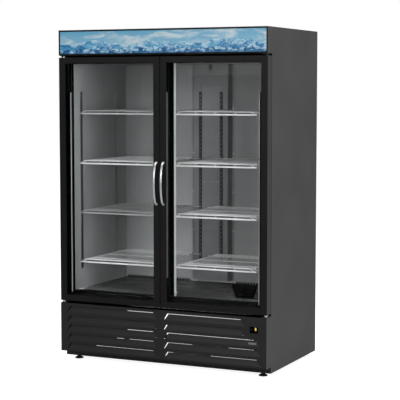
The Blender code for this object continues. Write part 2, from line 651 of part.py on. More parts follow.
def condensing_unit():
    """Tray, compressor, condenser coil, shroud with motor, and the fan, at the rear right."""
    x0, x1 = UNIT_CENTRE_X - 0.105, INSIDE - 0.030
    floor = RAIL_TOP + GAP + 0.003
    box("unit_tray", (0.410, -0.010, RAIL_TOP + GAP), (INSIDE - RAIL_WIDTH - 0.001, 0.425, floor), "zinc")
    coil = box("condenser_coil", (x0, 0.000, floor + GAP), (x1 - 0.010, 0.034, 0.330), "zinc")
    fins = []
    for index in range(12):
        z = floor + 0.014 + index * 0.0212
        fins.append(((x0 + 0.008, -0.01, z), (x1 - 0.018, 0.010, z + 0.010)))
    cut(coil, boxes("condenser_gaps", fins))
    centre = ((x0 + x1) / 2 - 0.005, 0.048, FAN_AXIS_Z)
    shroud = box("fan_shroud", (x0, 0.036, floor + GAP), (x1 - 0.010, 0.064, 0.330), "zinc")
    cut(shroud, cylinders("shroud_throat", [(centre, "Y", FAN_RADIUS + 0.006, 0.10)], sides=36))
    arm_y = 0.0640
    join(shroud, boxes("motor_arms", [
        ((x0 + 0.004, arm_y - 0.004, FAN_AXIS_Z - 0.008), (x1 - 0.014, arm_y + 0.006, FAN_AXIS_Z + 0.008))]))
    join(shroud, cylinders("motor_body", [((centre[0], 0.085, FAN_AXIS_Z), "Y", 0.030, 0.048)], sides=28))
    fan_rotor("condenser_fan", (centre[0], 0.047, FAN_AXIS_Z), FAN_RADIUS, 0.024, 0.022, "plastic_black")
    can = [(0.0, 0.215), (0.030, 0.213), (0.055, 0.205), (0.074, 0.188), (0.082, 0.165),
           (0.084, 0.110), (0.086, 0.108), (0.086, 0.100), (0.084, 0.098), (0.082, 0.040),
           (0.072, 0.016), (0.050, 0.004), (0.0, 0.0)]
    shell = turned("compressor", can, (0.0, 0.0, 0.0), "compressor_black", sides=32)
    foot_z = floor + GAP
    for vertex in shell.data.vertices:
        vertex.co.z += foot_z
    shell.location = (0.545, 0.250, 0.0)
    join(shell, box("compressor_feet", (0.445, 0.180, foot_z), (0.645, 0.320, foot_z + 0.004)))
    join(shell, box("terminal_box", (0.440, 0.225, foot_z + 0.070), (0.480, 0.275, foot_z + 0.130)))


def condensate_pan():
    """Shallow pan under the compartment drain, hung on the base rails."""
    (x0, x1), (y0, y1), (z0, z1) = (-0.0245, 0.1295), (-0.160, 0.215), (0.029, 0.058)
    pan = box("condensate_pan", (x0, y0, z0), (x1, y1, z1), "zinc")
    join(pan, box("pan_flange", (x0 - 0.020, y0, RAIL_TOP + GAP), (x1 + 0.020, y1, RAIL_TOP + 0.002)))
    cut(pan, box("pan_hollow", (x0 + SHEET, y0 + SHEET, z0 + SHEET),
                 (x1 - SHEET, y1 - SHEET, z1 + 0.02)))


def cord_gland():
    """Gland on the rear cross bar where a supply cord would leave."""
    face_y = BACK - 0.0025 - 0.003
    gland = cylinders("cord_gland", [((0.360, face_y + GAP + 0.0024, 0.133), "Y", 0.013, 0.0048)],
                      "plastic_black", sides=28)
    cut(gland, cylinders("gland_hole", [((0.360, face_y, 0.133), "Y", 0.005, 0.05)], sides=20))


# ---------------------------------------------------------------- doors
def hinge_brackets(side):
    """Top and bottom bracket plates on the body, each with a pin into the door."""
    sign = -1 if side == "left" else 1
    axis_x, axis_y = sign * (HALF - HINGE_INSET), FRONT + HINGE_SETBACK
    low_x, high_x = sorted((sign * 0.646, sign * INSIDE))
    plate_y = (FRONT + 0.006, BODY_FRONT - GAP)
    z = KICK_TOP + GAP
    lower = box(f"hinge_bottom_{side}", (low_x, plate_y[0], z), (high_x, plate_y[1], z + 0.004), "zinc")
    join(lower, cylinders(f"pin_bottom_{side}", [
        ((axis_x, axis_y, (z + DOOR_BOTTOM + PIN_ENGAGEMENT) / 2 + 0.001), "Z", PIN_RADIUS,
         DOOR_BOTTOM + PIN_ENGAGEMENT - z - 0.002)]))
    join(lower, cylinders(f"bush_bottom_{side}", [
        ((axis_x, axis_y, (z + 0.003 + DOOR_BOTTOM - GAP) / 2), "Z", 0.0105, DOOR_BOTTOM - GAP - z - 0.003)]))
    z = HEADER_BOTTOM - GAP
    upper = box(f"hinge_top_{side}", (low_x, plate_y[0], z - 0.004), (high_x, plate_y[1], z), "zinc")
    join(upper, cylinders(f"pin_top_{side}", [
        ((axis_x, axis_y, (z + DOOR_TOP - PIN_ENGAGEMENT) / 2 - 0.001), "Z", PIN_RADIUS,
         z - DOOR_TOP + PIN_ENGAGEMENT - 0.002)]))
    return axis_x, axis_y


def door(side):
    """One glass door: frame, sealed glass unit, gasket, bow handle and light strip."""
    sign = -1 if side == "left" else 1

    def span(inner, outer):
        """Low and high x of something between two distances from the cabinet's centre."""
        return sorted((sign * inner, sign * outer))

    axis_x, axis_y = hinge_brackets(side)
    x0, x1 = span(DOOR_SPLIT, HALF)
    rear = FRONT + DOOR_DEPTH
    frame = box(f"door_frame_{side}", (x0, FRONT, DOOR_BOTTOM), (x1, rear, DOOR_TOP), "frame_black")
    ox0, ox1 = span(STILE, HALF - STILE)
    oz0, oz1 = DOOR_BOTTOM + RAIL, DOOR_TOP - RAIL
    cut(frame, box(f"door_opening_{side}", (ox0, FRONT - 0.01, oz0), (ox1, rear + 0.01, oz1)))
    cut(frame, box(f"glass_rebate_{side}", (ox0 - REBATE, FRONT + LIP_DEPTH, oz0 - REBATE),
                   (ox1 + REBATE, rear + 0.01, oz1 + REBATE)))
    bore = PIN_RADIUS + PIN_CLEARANCE
    cut(frame, cylinders(f"pin_bores_{side}", [
        ((axis_x, axis_y, DOOR_BOTTOM), "Z", bore, 2 * PIN_ENGAGEMENT + 0.002),
        ((axis_x, axis_y, DOOR_TOP), "Z", bore, 2 * PIN_ENGAGEMENT + 0.002)]))
    inner = REBATE - GAP
    glass_front = FRONT + LIP_DEPTH + GAP
    glass = box(f"door_glass_{side}", (ox0 - inner, glass_front, oz0 - inner),
                (ox1 + inner, glass_front + GLASS_DEPTH, oz1 + inner), "glass")
    gx0, gx1 = span(0.010, HALF - GASKET_INSET)
    gasket = box(f"door_gasket_{side}", (gx0, rear + GAP, DOOR_BOTTOM + 0.014),
                 (gx1, BODY_FRONT - 0.0006, DOOR_TOP - 0.014), "rubber")
    hx0, hx1 = span(0.0345, HALF - GASKET_INNER)
    cut(gasket, box(f"gasket_hole_{side}", (hx0, FRONT, oz0 - 0.004), (hx1, BODY_FRONT + 0.01, oz1 + 0.004)))
    sx0, sx1 = span(0.6245, 0.6507)
    strip = box(f"door_light_{side}", (sx0, rear - 0.0125, STRIP_BOTTOM),
                (sx1, rear - 0.0005, STRIP_TOP), "diffuser")
    handle = bow_handle(f"door_handle_{side}", sign * HANDLE_X)
    hang(pivot(f"door_hinge_{side}", (axis_x, axis_y, DOOR_BOTTOM)), frame, glass, gasket, strip, handle)


def bow_handle(name, x):
    """A round bar that leaves the stile, turns, and bows outward between its ends."""
    reach, shoulder, turn = HANDLE_REACH - HANDLE_RADIUS, 0.018, 0.010
    middle = (HANDLE_BOTTOM + HANDLE_TOP) / 2
    half = (HANDLE_TOP - HANDLE_BOTTOM) / 2 - HANDLE_RADIUS
    lower = [(0.0004, -half)]
    for step in range(5):
        angle = math.radians(90 * step / 4)
        lower.append((shoulder - turn * (1 - math.sin(angle)), -half + turn * (1 - math.cos(angle))))
    bow = []
    for step in range(1, 12):
        t = step / 12
        z = -half + turn + (2 * half - 2 * turn) * t
        bow.append((shoulder + (reach - shoulder) * math.sin(math.pi * t), z))
    upper = [(out, -z) for out, z in reversed(lower)]
    points = [(x, FRONT - out, middle + z) for out, z in lower + bow + upper]
    return bar(name, points, HANDLE_RADIUS, "aluminium")


# ---------------------------------------------------------------- assembly
outer_skins()
insulation_and_liner()
face_frame()
mullion()
rear_duct()
shelf_standards()
shelves()
circulation_fan()
header()
kick_grille()
controller()
base_frame()
levelling_feet()
condensing_unit()
condensate_pan()
cord_gland()
for door_side in ("left", "right"):
    door(door_side)
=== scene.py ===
"""Looks of the two-door glass merchandiser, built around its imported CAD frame.

Units are metres in the frame's own axes: +Z up, doors facing -Y, origin on the floor.
"""
import json
import math

import bmesh
import bpy
from mathutils import Matrix, Vector


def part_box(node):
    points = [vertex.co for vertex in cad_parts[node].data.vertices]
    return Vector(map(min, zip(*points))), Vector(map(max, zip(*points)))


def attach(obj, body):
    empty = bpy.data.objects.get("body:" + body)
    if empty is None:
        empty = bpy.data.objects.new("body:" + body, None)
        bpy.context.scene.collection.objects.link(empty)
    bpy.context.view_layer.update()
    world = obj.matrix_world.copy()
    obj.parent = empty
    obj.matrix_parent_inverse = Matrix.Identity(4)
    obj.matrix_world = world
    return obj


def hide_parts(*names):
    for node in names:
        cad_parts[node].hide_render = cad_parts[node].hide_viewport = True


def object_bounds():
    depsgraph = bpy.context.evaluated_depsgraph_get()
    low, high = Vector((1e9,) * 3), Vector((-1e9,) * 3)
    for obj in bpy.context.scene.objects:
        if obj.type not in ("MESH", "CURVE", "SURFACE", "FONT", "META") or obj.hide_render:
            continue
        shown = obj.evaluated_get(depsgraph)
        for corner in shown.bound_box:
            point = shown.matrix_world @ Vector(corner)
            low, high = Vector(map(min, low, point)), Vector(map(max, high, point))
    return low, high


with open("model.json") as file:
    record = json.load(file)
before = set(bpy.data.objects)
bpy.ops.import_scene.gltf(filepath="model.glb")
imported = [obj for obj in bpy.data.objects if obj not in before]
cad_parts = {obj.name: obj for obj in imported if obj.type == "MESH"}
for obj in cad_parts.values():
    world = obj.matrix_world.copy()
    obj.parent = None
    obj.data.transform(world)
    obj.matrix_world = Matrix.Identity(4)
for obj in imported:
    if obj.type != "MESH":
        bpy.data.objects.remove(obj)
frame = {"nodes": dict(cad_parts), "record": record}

cad_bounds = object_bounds()
scene = bpy.context.scene
nodes = frame["nodes"]

# ---------------------------------------------------------------- places read from the frame
DOORS = ("left", "right")
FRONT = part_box("kick_grille")[0].y              # plane of the door, header and kick faces
BODY_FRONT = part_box("face_frame")[0].y
LINER_LOW, LINER_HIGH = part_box("liner")
LINER_WALL = 0.0012                              # thickness of the liner sheet

# ---------------------------------------------------------------- material graphs


class Look:
    """A procedural material: a Principled shader and short calls for the nodes that feed it."""

    def __init__(self, name, **sockets):
        self.mat = bpy.data.materials.new(name)
        self.mat.use_nodes = True
        self.tree = self.mat.node_tree
        self.shader = self.tree.nodes["Principled BSDF"]
        for socket, value in sockets.items():
            self.set(self.shader.inputs[socket.replace("_", " ")], value)
        self.coords = self.tree.nodes.new("ShaderNodeTexCoord").outputs["Object"]

    def set(self, socket, value):
        """Give a socket a plain value, or link another node's output to it."""
        if isinstance(value, bpy.types.NodeSocket):
            self.tree.links.new(value, socket)
        elif isinstance(value, tuple) and len(value) == 3 and len(socket.default_value) == 4:
            socket.default_value = (*value, 1.0)
        else:
            socket.default_value = value

    def node(self, kind, inputs, **settings):
        made = self.tree.nodes.new("ShaderNode" + kind)
        for key, value in settings.items():
            setattr(made, key, value)
        for key, value in inputs.items():
            self.set(made.inputs[key], value)
        return made

    def math(self, operation, a, b=0.0):
        return self.node("Math", {0: a, 1: b}, operation=operation).outputs[0]

    def noise(self, scale, detail=3.0, rough=0.5, stretch=None, distortion=0.0):
        """A noise field, about 0.5 in the middle."""
        vector = self.coords
        if stretch is not None:
            vector = self.node("Mapping", {"Vector": self.coords, "Scale": stretch}).outputs[0]
        made = self.node("TexNoise", {"Vector": vector, "Scale": scale, "Detail": detail,
                                      "Roughness": rough, "Distortion": distortion})
        return made.outputs["Fac"]

    def remap(self, value, low, high, to_low, to_high, smooth=False):
        kind = "SMOOTHSTEP" if smooth else "LINEAR"
        made = self.node("MapRange", {0: value, 1: low, 2: high, 3: to_low, 4: to_high},
                         interpolation_type=kind)
        return made.outputs[0]

    def mix(self, factor, a, b):
        return self.node("Mix", {0: factor, 6: a, 7: b}, data_type="RGBA").outputs[2]

    def bump(self, *layers):
        """Stack bump layers, each a height field, its depth in metres and its strength."""
        normal = None
        for height, depth, strength in layers:
            made = self.node("Bump", {"Height": height, "Distance": depth, "Strength": strength})
            if normal is not None:
                self.set(made.inputs["Normal"], normal)
            normal = made.outputs[0]
        self.set(self.shader.inputs["Normal"], normal)

    def use(self, socket, value):
        self.set(self.shader.inputs[socket], value)

    def axis(self, letter):
        """One object coordinate."""
        return self.node("SeparateXYZ", {0: self.coords}).outputs[letter]


def scaled(colour, by):
    return tuple(channel * by for channel in colour)


def coated_steel(name, colour, rough, grain, specular=0.5, dust=0.0, edge=None):
    """Powder-coated steel: fine orange peel, uneven tone and gloss, and a little dust low down.

    An edge colour paints whatever lies in the cabinet's two side planes: painted light, a lighter grey
    standing in for the light that falls on the cabinet's sides.
    """
    look = Look(name, Specular_IOR_Level=specular)
    broad = look.noise(3.0, 4.0, 0.55)
    fine = look.noise(grain, 2.0, 0.6)
    speck = look.noise(grain * 2.3, 1.0, 0.5)
    tone = look.math("ADD", look.math("MULTIPLY", broad, 0.7), look.math("MULTIPLY", fine, 0.3))
    factor = look.remap(tone, 0.35, 0.65, 0.0, 1.0)
    paint = look.mix(factor, scaled(colour, 0.88), scaled(colour, 1.12))
    if dust:
        low = look.remap(look.axis("Z"), 0.0, 0.45, dust, 0.0, smooth=True)
        patch = look.math("MULTIPLY", low, look.remap(broad, 0.35, 0.7, 0.2, 1.0))
        paint = look.mix(patch, paint, (0.16, 0.15, 0.14))
    # painted light: faces in the cabinet's side planes take the lighter edge colour
    if edge:
        outer = look.math("GREATER_THAN", look.math("ABSOLUTE", look.axis("X")), cad_bounds[1].x - 0.0006)
        paint = look.mix(outer, paint, edge)
    look.use("Base Color", paint)
    look.use("Roughness", look.remap(tone, 0.3, 0.7, rough - 0.06, rough + 0.07))
    look.bump((fine, 0.0004, 0.25), (speck, 0.0002, 0.20))
    return look.mat


def stucco_liner(name, colour, rough, floor=1.10):
    """Satin embossed liner sheet: small pressed cells, rolling streaks and faint water marks.

    The compartment's floor, at the bottom of the sheet, is bare and polished.
    """
    look = Look(name, Specular_IOR_Level=0.4)
    cells = look.node("TexVoronoi", {"Vector": look.coords, "Scale": 260.0, "Randomness": 0.9},
                      feature="SMOOTH_F1").outputs["Distance"]
    streak = look.noise(1.0, 3.0, 0.6, stretch=(60.0, 60.0, 1.6))
    cloud = look.noise(2.2, 4.0, 0.6)
    tone = look.math("ADD", look.math("MULTIPLY", streak, 0.4), look.math("MULTIPLY", cloud, 0.6))
    sheet = look.mix(look.remap(tone, 0.35, 0.65, 0.0, 1.0), scaled(colour, 0.90), scaled(colour, 1.10))
    low = look.remap(look.axis("Z"), LINER_LOW.z + 0.004, LINER_LOW.z + 0.009, 1.0, 0.0)
    wiped = look.noise(9.0, 5.0, 0.6, distortion=0.4)
    worn = look.mix(look.remap(wiped, 0.35, 0.65, 0.0, 1.0), scaled(colour, floor * 0.88),
                    scaled(colour, floor * 1.12))
    look.use("Base Color", look.mix(low, sheet, worn))
    satin = look.remap(streak, 0.3, 0.7, rough - 0.05, rough + 0.08)
    smooth = look.remap(wiped, 0.35, 0.65, 0.13, 0.21)
    share = look.node("Mix", {0: low, 2: satin, 3: smooth}, data_type="FLOAT").outputs[0]
    look.use("Roughness", share)
    look.use("Metallic", look.remap(low, 0.0, 1.0, 0.25, 0.95))
    look.bump((cells, 0.0002, 0.12), (streak, 0.0003, 0.06))
    return look.mat


def brushed_metal(name, colour, rough, stain=0.0):
    """Metal with fine upright brushing lines, and dull spots where it is stained."""
    look = Look(name, Metallic=1.0)
    lines = look.noise(1.0, 2.0, 0.6, stretch=(2600.0, 2600.0, 25.0))
    cloud = look.noise(14.0, 3.0, 0.6)
    base = look.mix(lines, scaled(colour, 0.86), scaled(colour, 1.08))
    if stain:
        spots = look.remap(cloud, 0.52, 0.72, 0.0, stain, smooth=True)
        base = look.mix(spots, base, scaled(colour, 0.45))
    look.use("Base Color", base)
    look.use("Roughness", look.math("ADD", look.math("MULTIPLY", lines, 0.16), rough - 0.08))
    look.bump((lines, 0.0002, 0.15), (cloud, 0.0006, 0.05))
    return look.mat


def spangled_zinc(name, colour, rough):
    """Zinc-plated or galvanised sheet, with soft spangle patches and dull spots."""
    look = Look(name, Metallic=0.9)
    spangle = look.node("TexVoronoi", {"Vector": look.coords, "Scale": 95.0, "Randomness": 1.0})
    patch = look.node("SeparateColor", {0: spangle.outputs["Color"]}).outputs[0]
    cloud = look.noise(9.0, 4.0, 0.65)
    base = look.mix(patch, scaled(colour, 0.82), scaled(colour, 1.10))
    look.use("Base Color", look.mix(look.remap(cloud, 0.5, 0.75, 0.0, 0.5), base, scaled(colour, 0.55)))
    look.use("Roughness", look.remap(patch, 0.0, 1.0, rough - 0.08, rough + 0.14))
    look.bump((cloud, 0.0008, 0.10), (patch, 0.0002, 0.05))
    return look.mat


def wire_coating(name, colour):
    """Epoxy-coated wire: smooth, slightly uneven, greyer where stock has rubbed it."""
    look = Look(name, Specular_IOR_Level=0.5, Coat_Weight=0.15, Coat_Roughness=0.25)
    cloud = look.noise(22.0, 4.0, 0.6)
    fine = look.noise(420.0, 2.0, 0.5)
    look.use("Base Color", look.mix(look.remap(cloud, 0.45, 0.8, 0.0, 0.7), colour, scaled(colour, 0.78)))
    look.use("Roughness", look.remap(fine, 0.3, 0.7, 0.30, 0.48))
    look.bump((fine, 0.0003, 0.20), (cloud, 0.0006, 0.10))
    return look.mat


def moulded(name, colour, rough, grain=900.0, depth=0.0003, specular=0.4):
    """Moulded plastic or rubber with a fine even grain."""
    look = Look(name, Specular_IOR_Level=specular)
    fine = look.noise(grain, 2.0, 0.6)
    cloud = look.noise(18.0, 3.0, 0.55)
    look.use("Base Color", look.mix(look.remap(cloud, 0.3, 0.7, 0.0, 1.0),
                                    scaled(colour, 0.82), scaled(colour, 1.2)))
    look.use("Roughness", look.remap(cloud, 0.3, 0.7, rough - 0.07, rough + 0.07))
    look.bump((fine, depth, 0.35))
    return look.mat


def clear_glass(name, tint, shade):
    """Clear float glass that lets lamplight through, with a trace of haze and smears."""
    look = Look(name, Base_Color=tint, IOR=1.07, Transmission_Weight=1.0)
    smear = look.noise(5.0, 5.0, 0.62, stretch=(1.0, 1.0, 0.5), distortion=0.6)
    look.use("Roughness", look.remap(smear, 0.55, 0.85, 0.0, 0.035))
    clear = look.node("BsdfTransparent", {"Color": shade})
    path = look.tree.nodes.new("ShaderNodeLightPath")
    both = look.node("MixShader", {0: path.outputs["Is Shadow Ray"]})
    look.tree.links.new(look.shader.outputs[0], both.inputs[1])
    look.tree.links.new(clear.outputs[0], both.inputs[2])
    look.tree.links.new(both.outputs[0], look.tree.nodes["Material Output"].inputs["Surface"])
    return look.mat


def lamp_diffuser(name, colour, glow):
    """Opal lamp cover with fine extrusion lines."""
    look = Look(name, Specular_IOR_Level=0.5, Emission_Color=colour, Emission_Strength=glow)
    lines = look.noise(1.0, 1.0, 0.5, stretch=(900.0, 900.0, 2.0))
    cloud = look.noise(12.0, 3.0, 0.5)
    look.use("Base Color", look.mix(cloud, scaled(colour, 0.93), colour))
    look.use("Roughness", look.remap(lines, 0.3, 0.7, 0.28, 0.42))
    look.bump((lines, 0.0002, 0.15))
    return look.mat


def foam_look(name, colour):
    look = Look(name, Roughness=0.9)
    cells = look.noise(700.0, 3.0, 0.7)
    look.use("Base Color", look.mix(cells, scaled(colour, 0.75), colour))
    look.bump((cells, 0.001, 0.5))
    return look.mat


# rows of hills on the sign, far to near: noise row, hills per metre, lowest and highest share, rock colours
SIGN_HILLS = (
    (1, 7.0, 0.30, 0.66, (0.055, 0.19, 0.33), (0.12, 0.30, 0.44)),
    (2, 10.0, 0.16, 0.50, (0.020, 0.12, 0.26), (0.06, 0.23, 0.39)),
    (3, 14.0, 0.02, 0.34, (0.006, 0.06, 0.16), (0.03, 0.16, 0.31)),
)


def ridge_line(look, row, pitch, low, high):
    """Height of a row of hills over the sign's lower edge, from noise along the sign alone."""
    along = look.math("MULTIPLY", look.axis("X"), pitch)
    place = look.node("CombineXYZ", {0: along, 1: 7.3 * row, 2: 0.0}).outputs[0]
    noise = look.node("TexNoise", {"Vector": place, "Scale": 1.0, "Detail": 6.0, "Roughness": 0.52})
    return look.remap(noise.outputs["Fac"], 0.30, 0.70, low, high)


def sign_artwork(name):
    """Generic cold landscape in blues: even rows of hills under thin cloud, all of it from noise."""
    look = Look(name, Specular_IOR_Level=0.12, Roughness=0.30)
    low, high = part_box("sign_panel")
    height = high.z - low.z
    z = look.math("SUBTRACT", look.axis("Z"), low.z)
    relief = look.noise(26.0, 6.0, 0.62, stretch=(1.0, 1.0, 1.8), distortion=0.8)

    wisps = look.noise(1.0, 8.0, 0.60, stretch=(5.0, 1.0, 16.0), distortion=0.6)
    scenery = look.mix(look.remap(z, 0.0, height, 0.0, 1.0), (0.20, 0.36, 0.46), (0.09, 0.26, 0.39))
    scenery = look.mix(look.remap(wisps, 0.44, 0.68, 0.0, 1.0, smooth=True), scenery, (0.42, 0.48, 0.50))

    for row, pitch, lowest, highest, dark, light in SIGN_HILLS:
        ridge = ridge_line(look, row, pitch, lowest * height, highest * height)
        rock = look.mix(look.remap(relief, 0.42, 0.60, 0.0, 1.0), dark, light)
        below = look.math("SUBTRACT", ridge, z)
        snow = look.math("MULTIPLY", look.remap(relief, 0.46, 0.56, 0.0, 1.0, True),
                         look.remap(below, 0.0, 0.024, 1.0, 0.0))
        rock = look.mix(snow, rock, (0.36, 0.48, 0.54))
        scenery = look.mix(look.math("GREATER_THAN", ridge, z), scenery, rock)

    look.use("Base Color", scenery)
    return look.mat


LOOKS = {
    # the skin's charcoal grey is partly its own paint and partly painted light that makes it lighter than
    # the black front
    "side_grey": coated_steel("side_grey", (0.075, 0.075, 0.076), 0.58, 420.0, 0.16, dust=0.01),
    "frame_black": coated_steel("frame_black", (0.0078, 0.0078, 0.0080), 0.42, 520.0, 0.06),
    # the doors' outer side faces carry painted light, a grey close to the side panels'
    "door_black_painted_side_light": coated_steel("door_black_painted_side_light", (0.0078, 0.0078, 0.0080), 0.42, 520.0, 0.06,
                               edge=(0.058, 0.058, 0.059)),
    "trim_black": coated_steel("trim_black", (0.0006, 0.0006, 0.0006), 0.60, 520.0, 0.01),
    "grille_black": coated_steel("grille_black", (0.0096, 0.0096, 0.0099), 0.42, 380.0, 0.19, dust=0.01),
    "liner_grey": stucco_liner("liner_grey", (0.226, 0.226, 0.230), 0.40),
    # a darker copy of the liner sheet for the rear duct: painted shade
    "duct_painted_shade": stucco_liner("duct_painted_shade", (0.155, 0.155, 0.158), 0.42),
    "foam": foam_look("foam", (0.75, 0.62, 0.35)),
    "shelf_white": wire_coating("shelf_white", (0.80, 0.80, 0.80)),
    # darker copies of the shelf coating: painted shade for shelves that lie in shade
    "shelf_painted_shade": wire_coating("shelf_painted_shade", (0.50, 0.50, 0.50)),
    "shelf_painted_deep_shade": wire_coating("shelf_painted_deep_shade", (0.36, 0.36, 0.36)),
    "standard_dark": brushed_metal("standard_dark", (0.050, 0.050, 0.052), 0.42),
    "blank_plate": brushed_metal("blank_plate", (0.20, 0.20, 0.20), 0.40),
    # lighter copies of the standards' metal: painted light for the standards on the lit left wall
    "standard_painted_light": brushed_metal("standard_painted_light", (0.14, 0.14, 0.142), 0.42),
    "standard_painted_strong_light": brushed_metal("standard_painted_strong_light", (0.30, 0.30, 0.305), 0.42),
    "aluminium": brushed_metal("aluminium", (0.58, 0.58, 0.59), 0.27),
    "zinc": spangled_zinc("zinc", (0.58, 0.59, 0.61), 0.38),
    "glass": clear_glass("glass", (0.955, 0.96, 0.96), (0.91, 0.92, 0.92)),
    "rubber": moulded("rubber", (0.0035, 0.0035, 0.0035), 0.70, 700.0, specular=0.12),
    "diffuser": lamp_diffuser("diffuser", (0.70, 0.72, 0.73), 0.06),
    "lens": lamp_diffuser("lens", (0.38, 0.39, 0.40), 0.02),
    "sign": sign_artwork("sign"),
    "compressor_black": coated_steel("compressor_black", (0.013, 0.013, 0.014), 0.28, 160.0, 0.5, dust=0.10),
    "plastic_black": moulded("plastic_black", (0.010, 0.010, 0.011), 0.50, specular=0.25),
    # grey for the bead on the right door's latch stile: a painted highlight
    "edge_painted_highlight": moulded("edge_painted_highlight", (0.045, 0.045, 0.046), 0.40, specular=0.4),
    "mesh_black": moulded("mesh_black", (0.0007, 0.0007, 0.0007), 0.62, specular=0.02),
    "rocker_yellow": moulded("rocker_yellow", (0.86, 0.55, 0.07), 0.34),
    "copper": brushed_metal("copper", (0.78, 0.38, 0.22), 0.30, stain=0.6),
}

# lighter and darker copies of one finish for single parts: painted light on two left-wall standards, painted
# shade on two left shelves
STANDARD_LOOKS = {"standard_left_front": "standard_painted_light", "standard_left_rear": "standard_painted_strong_light"}
SHELF_LOOKS = {"shelf_left_1": "shelf_painted_shade", "shelf_left_3": "shelf_painted_deep_shade"}

# ---------------------------------------------------------------- mesh building


class Shape:
    """A mesh under construction, made of several solids."""

    def __init__(self):
        self.bm = bmesh.new()

    def box(self, low, high, bevel=0.0, segments=2):
        low, high = Vector(low), Vector(high)
        made = bmesh.ops.create_cube(self.bm, size=1.0)["verts"]
        bmesh.ops.scale(self.bm, verts=made, vec=high - low)
        bmesh.ops.translate(self.bm, verts=made, vec=(low + high) / 2)
        if bevel:
            edges = list(dict.fromkeys(edge for vertex in made for edge in vertex.link_edges))
            bmesh.ops.bevel(self.bm, geom=edges, offset=bevel, segments=segments, profile=0.5,
                            affect="EDGES", clamp_overlap=True)
        return self

    def bridge(self, first, second):
        """Join two rings of as many points with a band of faces."""
        for step in range(len(first)):
            after = (step + 1) % len(first)
            self.bm.faces.new((first[step], first[after], second[after], second[step]))

    def close(self, first, last):
        """Cap the two end rings of a bar."""
        self.bm.faces.new(list(reversed(first)))
        self.bm.faces.new(last)

    def rod(self, start, end, radius, sides=10):
        """A round bar between two points."""
        start, end = Vector(start), Vector(end)
        length = (end - start).length
        turn = (end - start).to_track_quat("Z", "Y").to_matrix().to_4x4()
        bmesh.ops.create_cone(self.bm, cap_ends=True, segments=sides, radius1=radius,
                              radius2=radius, depth=length,
                              matrix=Matrix.Translation((start + end) / 2) @ turn)
        return self

    def tube(self, points, radius, sides=10, flat=1.0, up=(0, 0, 1), closed=False):
        """A bar swept along a row of points; flat squashes its section across up."""
        points = [Vector(p) for p in points]
        up = Vector(up)
        rings = []
        count = len(points)
        for index, point in enumerate(points):
            before = points[(index - 1) % count] if closed or index else points[0]
            after = points[(index + 1) % count] if closed or index < count - 1 else points[-1]
            along = (after - before).normalized()
            across = along.cross(up)
            if across.length < 1e-4:
                across = along.cross(Vector((1, 0, 0)))
            across.normalize()
            lift = across.cross(along).normalized()
            ring = []
            for step in range(sides):
                angle = 2 * math.pi * step / sides
                offset = across * math.cos(angle) * radius + lift * math.sin(angle) * radius * flat
                ring.append(self.bm.verts.new(point + offset))
            rings.append(ring)
        pairs = list(zip(rings, rings[1:]))
        if closed:
            pairs.append((rings[-1], rings[0]))
        for first, second in pairs:
            self.bridge(first, second)
        if not closed:
            self.close(rings[0], rings[-1])
        return self

    def prism(self, outline, axis, low, high):
        """An outline extruded along an axis; its points are (y, z), (x, z) or (x, y)."""
        frames = {"X": lambda u, v, w: (w, u, v), "Y": lambda u, v, w: (u, w, v),
                  "Z": lambda u, v, w: (u, v, w)}
        at = frames[axis]
        first = [self.bm.verts.new(at(u, v, low)) for u, v in outline]
        second = [self.bm.verts.new(at(u, v, high)) for u, v in outline]
        self.bridge(first, second)
        self.close(first, second)
        return self

    def lathe(self, profile, centre, axis="Z", steps=32):
        """A solid of revolution from (radius, height) points that start and end on the axis."""
        turn = {"Z": Matrix.Identity(3), "Y": Matrix(((1, 0, 0), (0, 0, -1), (0, 1, 0))),
                "X": Matrix(((0, 0, 1), (0, 1, 0), (-1, 0, 0)))}[axis]
        centre = Vector(centre)
        rings = []
        for radius, height in profile:
            if radius < 1e-6:
                rings.append([self.bm.verts.new(centre + turn @ Vector((0, 0, height)))])
                continue
            ring = []
            for step in range(steps):
                angle = 2 * math.pi * step / steps
                point = Vector((radius * math.cos(angle), radius * math.sin(angle), height))
                ring.append(self.bm.verts.new(centre + turn @ point))
            rings.append(ring)
        for first, second in zip(rings, rings[1:]):
            for step in range(steps):
                after = (step + 1) % steps
                corners = (first[step % len(first)], first[after % len(first)],
                           second[after % len(second)], second[step % len(second)])
                self.bm.faces.new(list(dict.fromkeys(corners)))
        return self

    def frame(self, low, high, profile, gap=0.0):
        """Four mitred bars around a rectangle in X and Z.

        low and high are (x, y, z) and (x, z) outer corners; a profile point is (inward, back).
        """
        x0, y0, z0 = low
        x1, z1 = high
        corners = [(x0, z0, 1, 1), (x1, z0, -1, 1), (x1, z1, -1, -1), (x0, z1, 1, -1)]
        for index in range(4):
            ends = []
            for corner, slide in ((corners[index], 1), (corners[(index + 1) % 4], -1)):
                cx, cz, sx, sz = corner
                dx, dz = ((slide, 0), (0, slide), (-slide, 0), (0, -slide))[index]
                ring = [self.bm.verts.new((cx + sx * u + dx * gap, y0 + v, cz + sz * u + dz * gap))
                        for u, v in profile]
                ends.append(ring)
            self.bridge(*ends)
            self.close(*ends)
        return self

    def moved(self, matrix):
        bmesh.ops.transform(self.bm, verts=self.bm.verts, matrix=matrix)
        return self

    def piece(self, name, look, body, slot=None, stands_for=(), smooth=35.0):
        """Finish the mesh as a named piece that rides on a body."""
        bmesh.ops.recalc_face_normals(self.bm, faces=self.bm.faces)
        mesh = bpy.data.meshes.new(name)
        self.bm.to_mesh(mesh)
        self.bm.free()
        mesh.materials.append(LOOKS[look])
        mesh.shade_smooth()
        mesh.set_sharp_from_angle(angle=math.radians(smooth))
        obj = bpy.data.objects.new(name, mesh)
        scene.collection.objects.link(obj)
        even = obj.modifiers.new("even_normals", "WEIGHTED_NORMAL")
        even.keep_sharp = True
        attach(obj, body)
        if stands_for:
            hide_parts(*stands_for)
        return obj

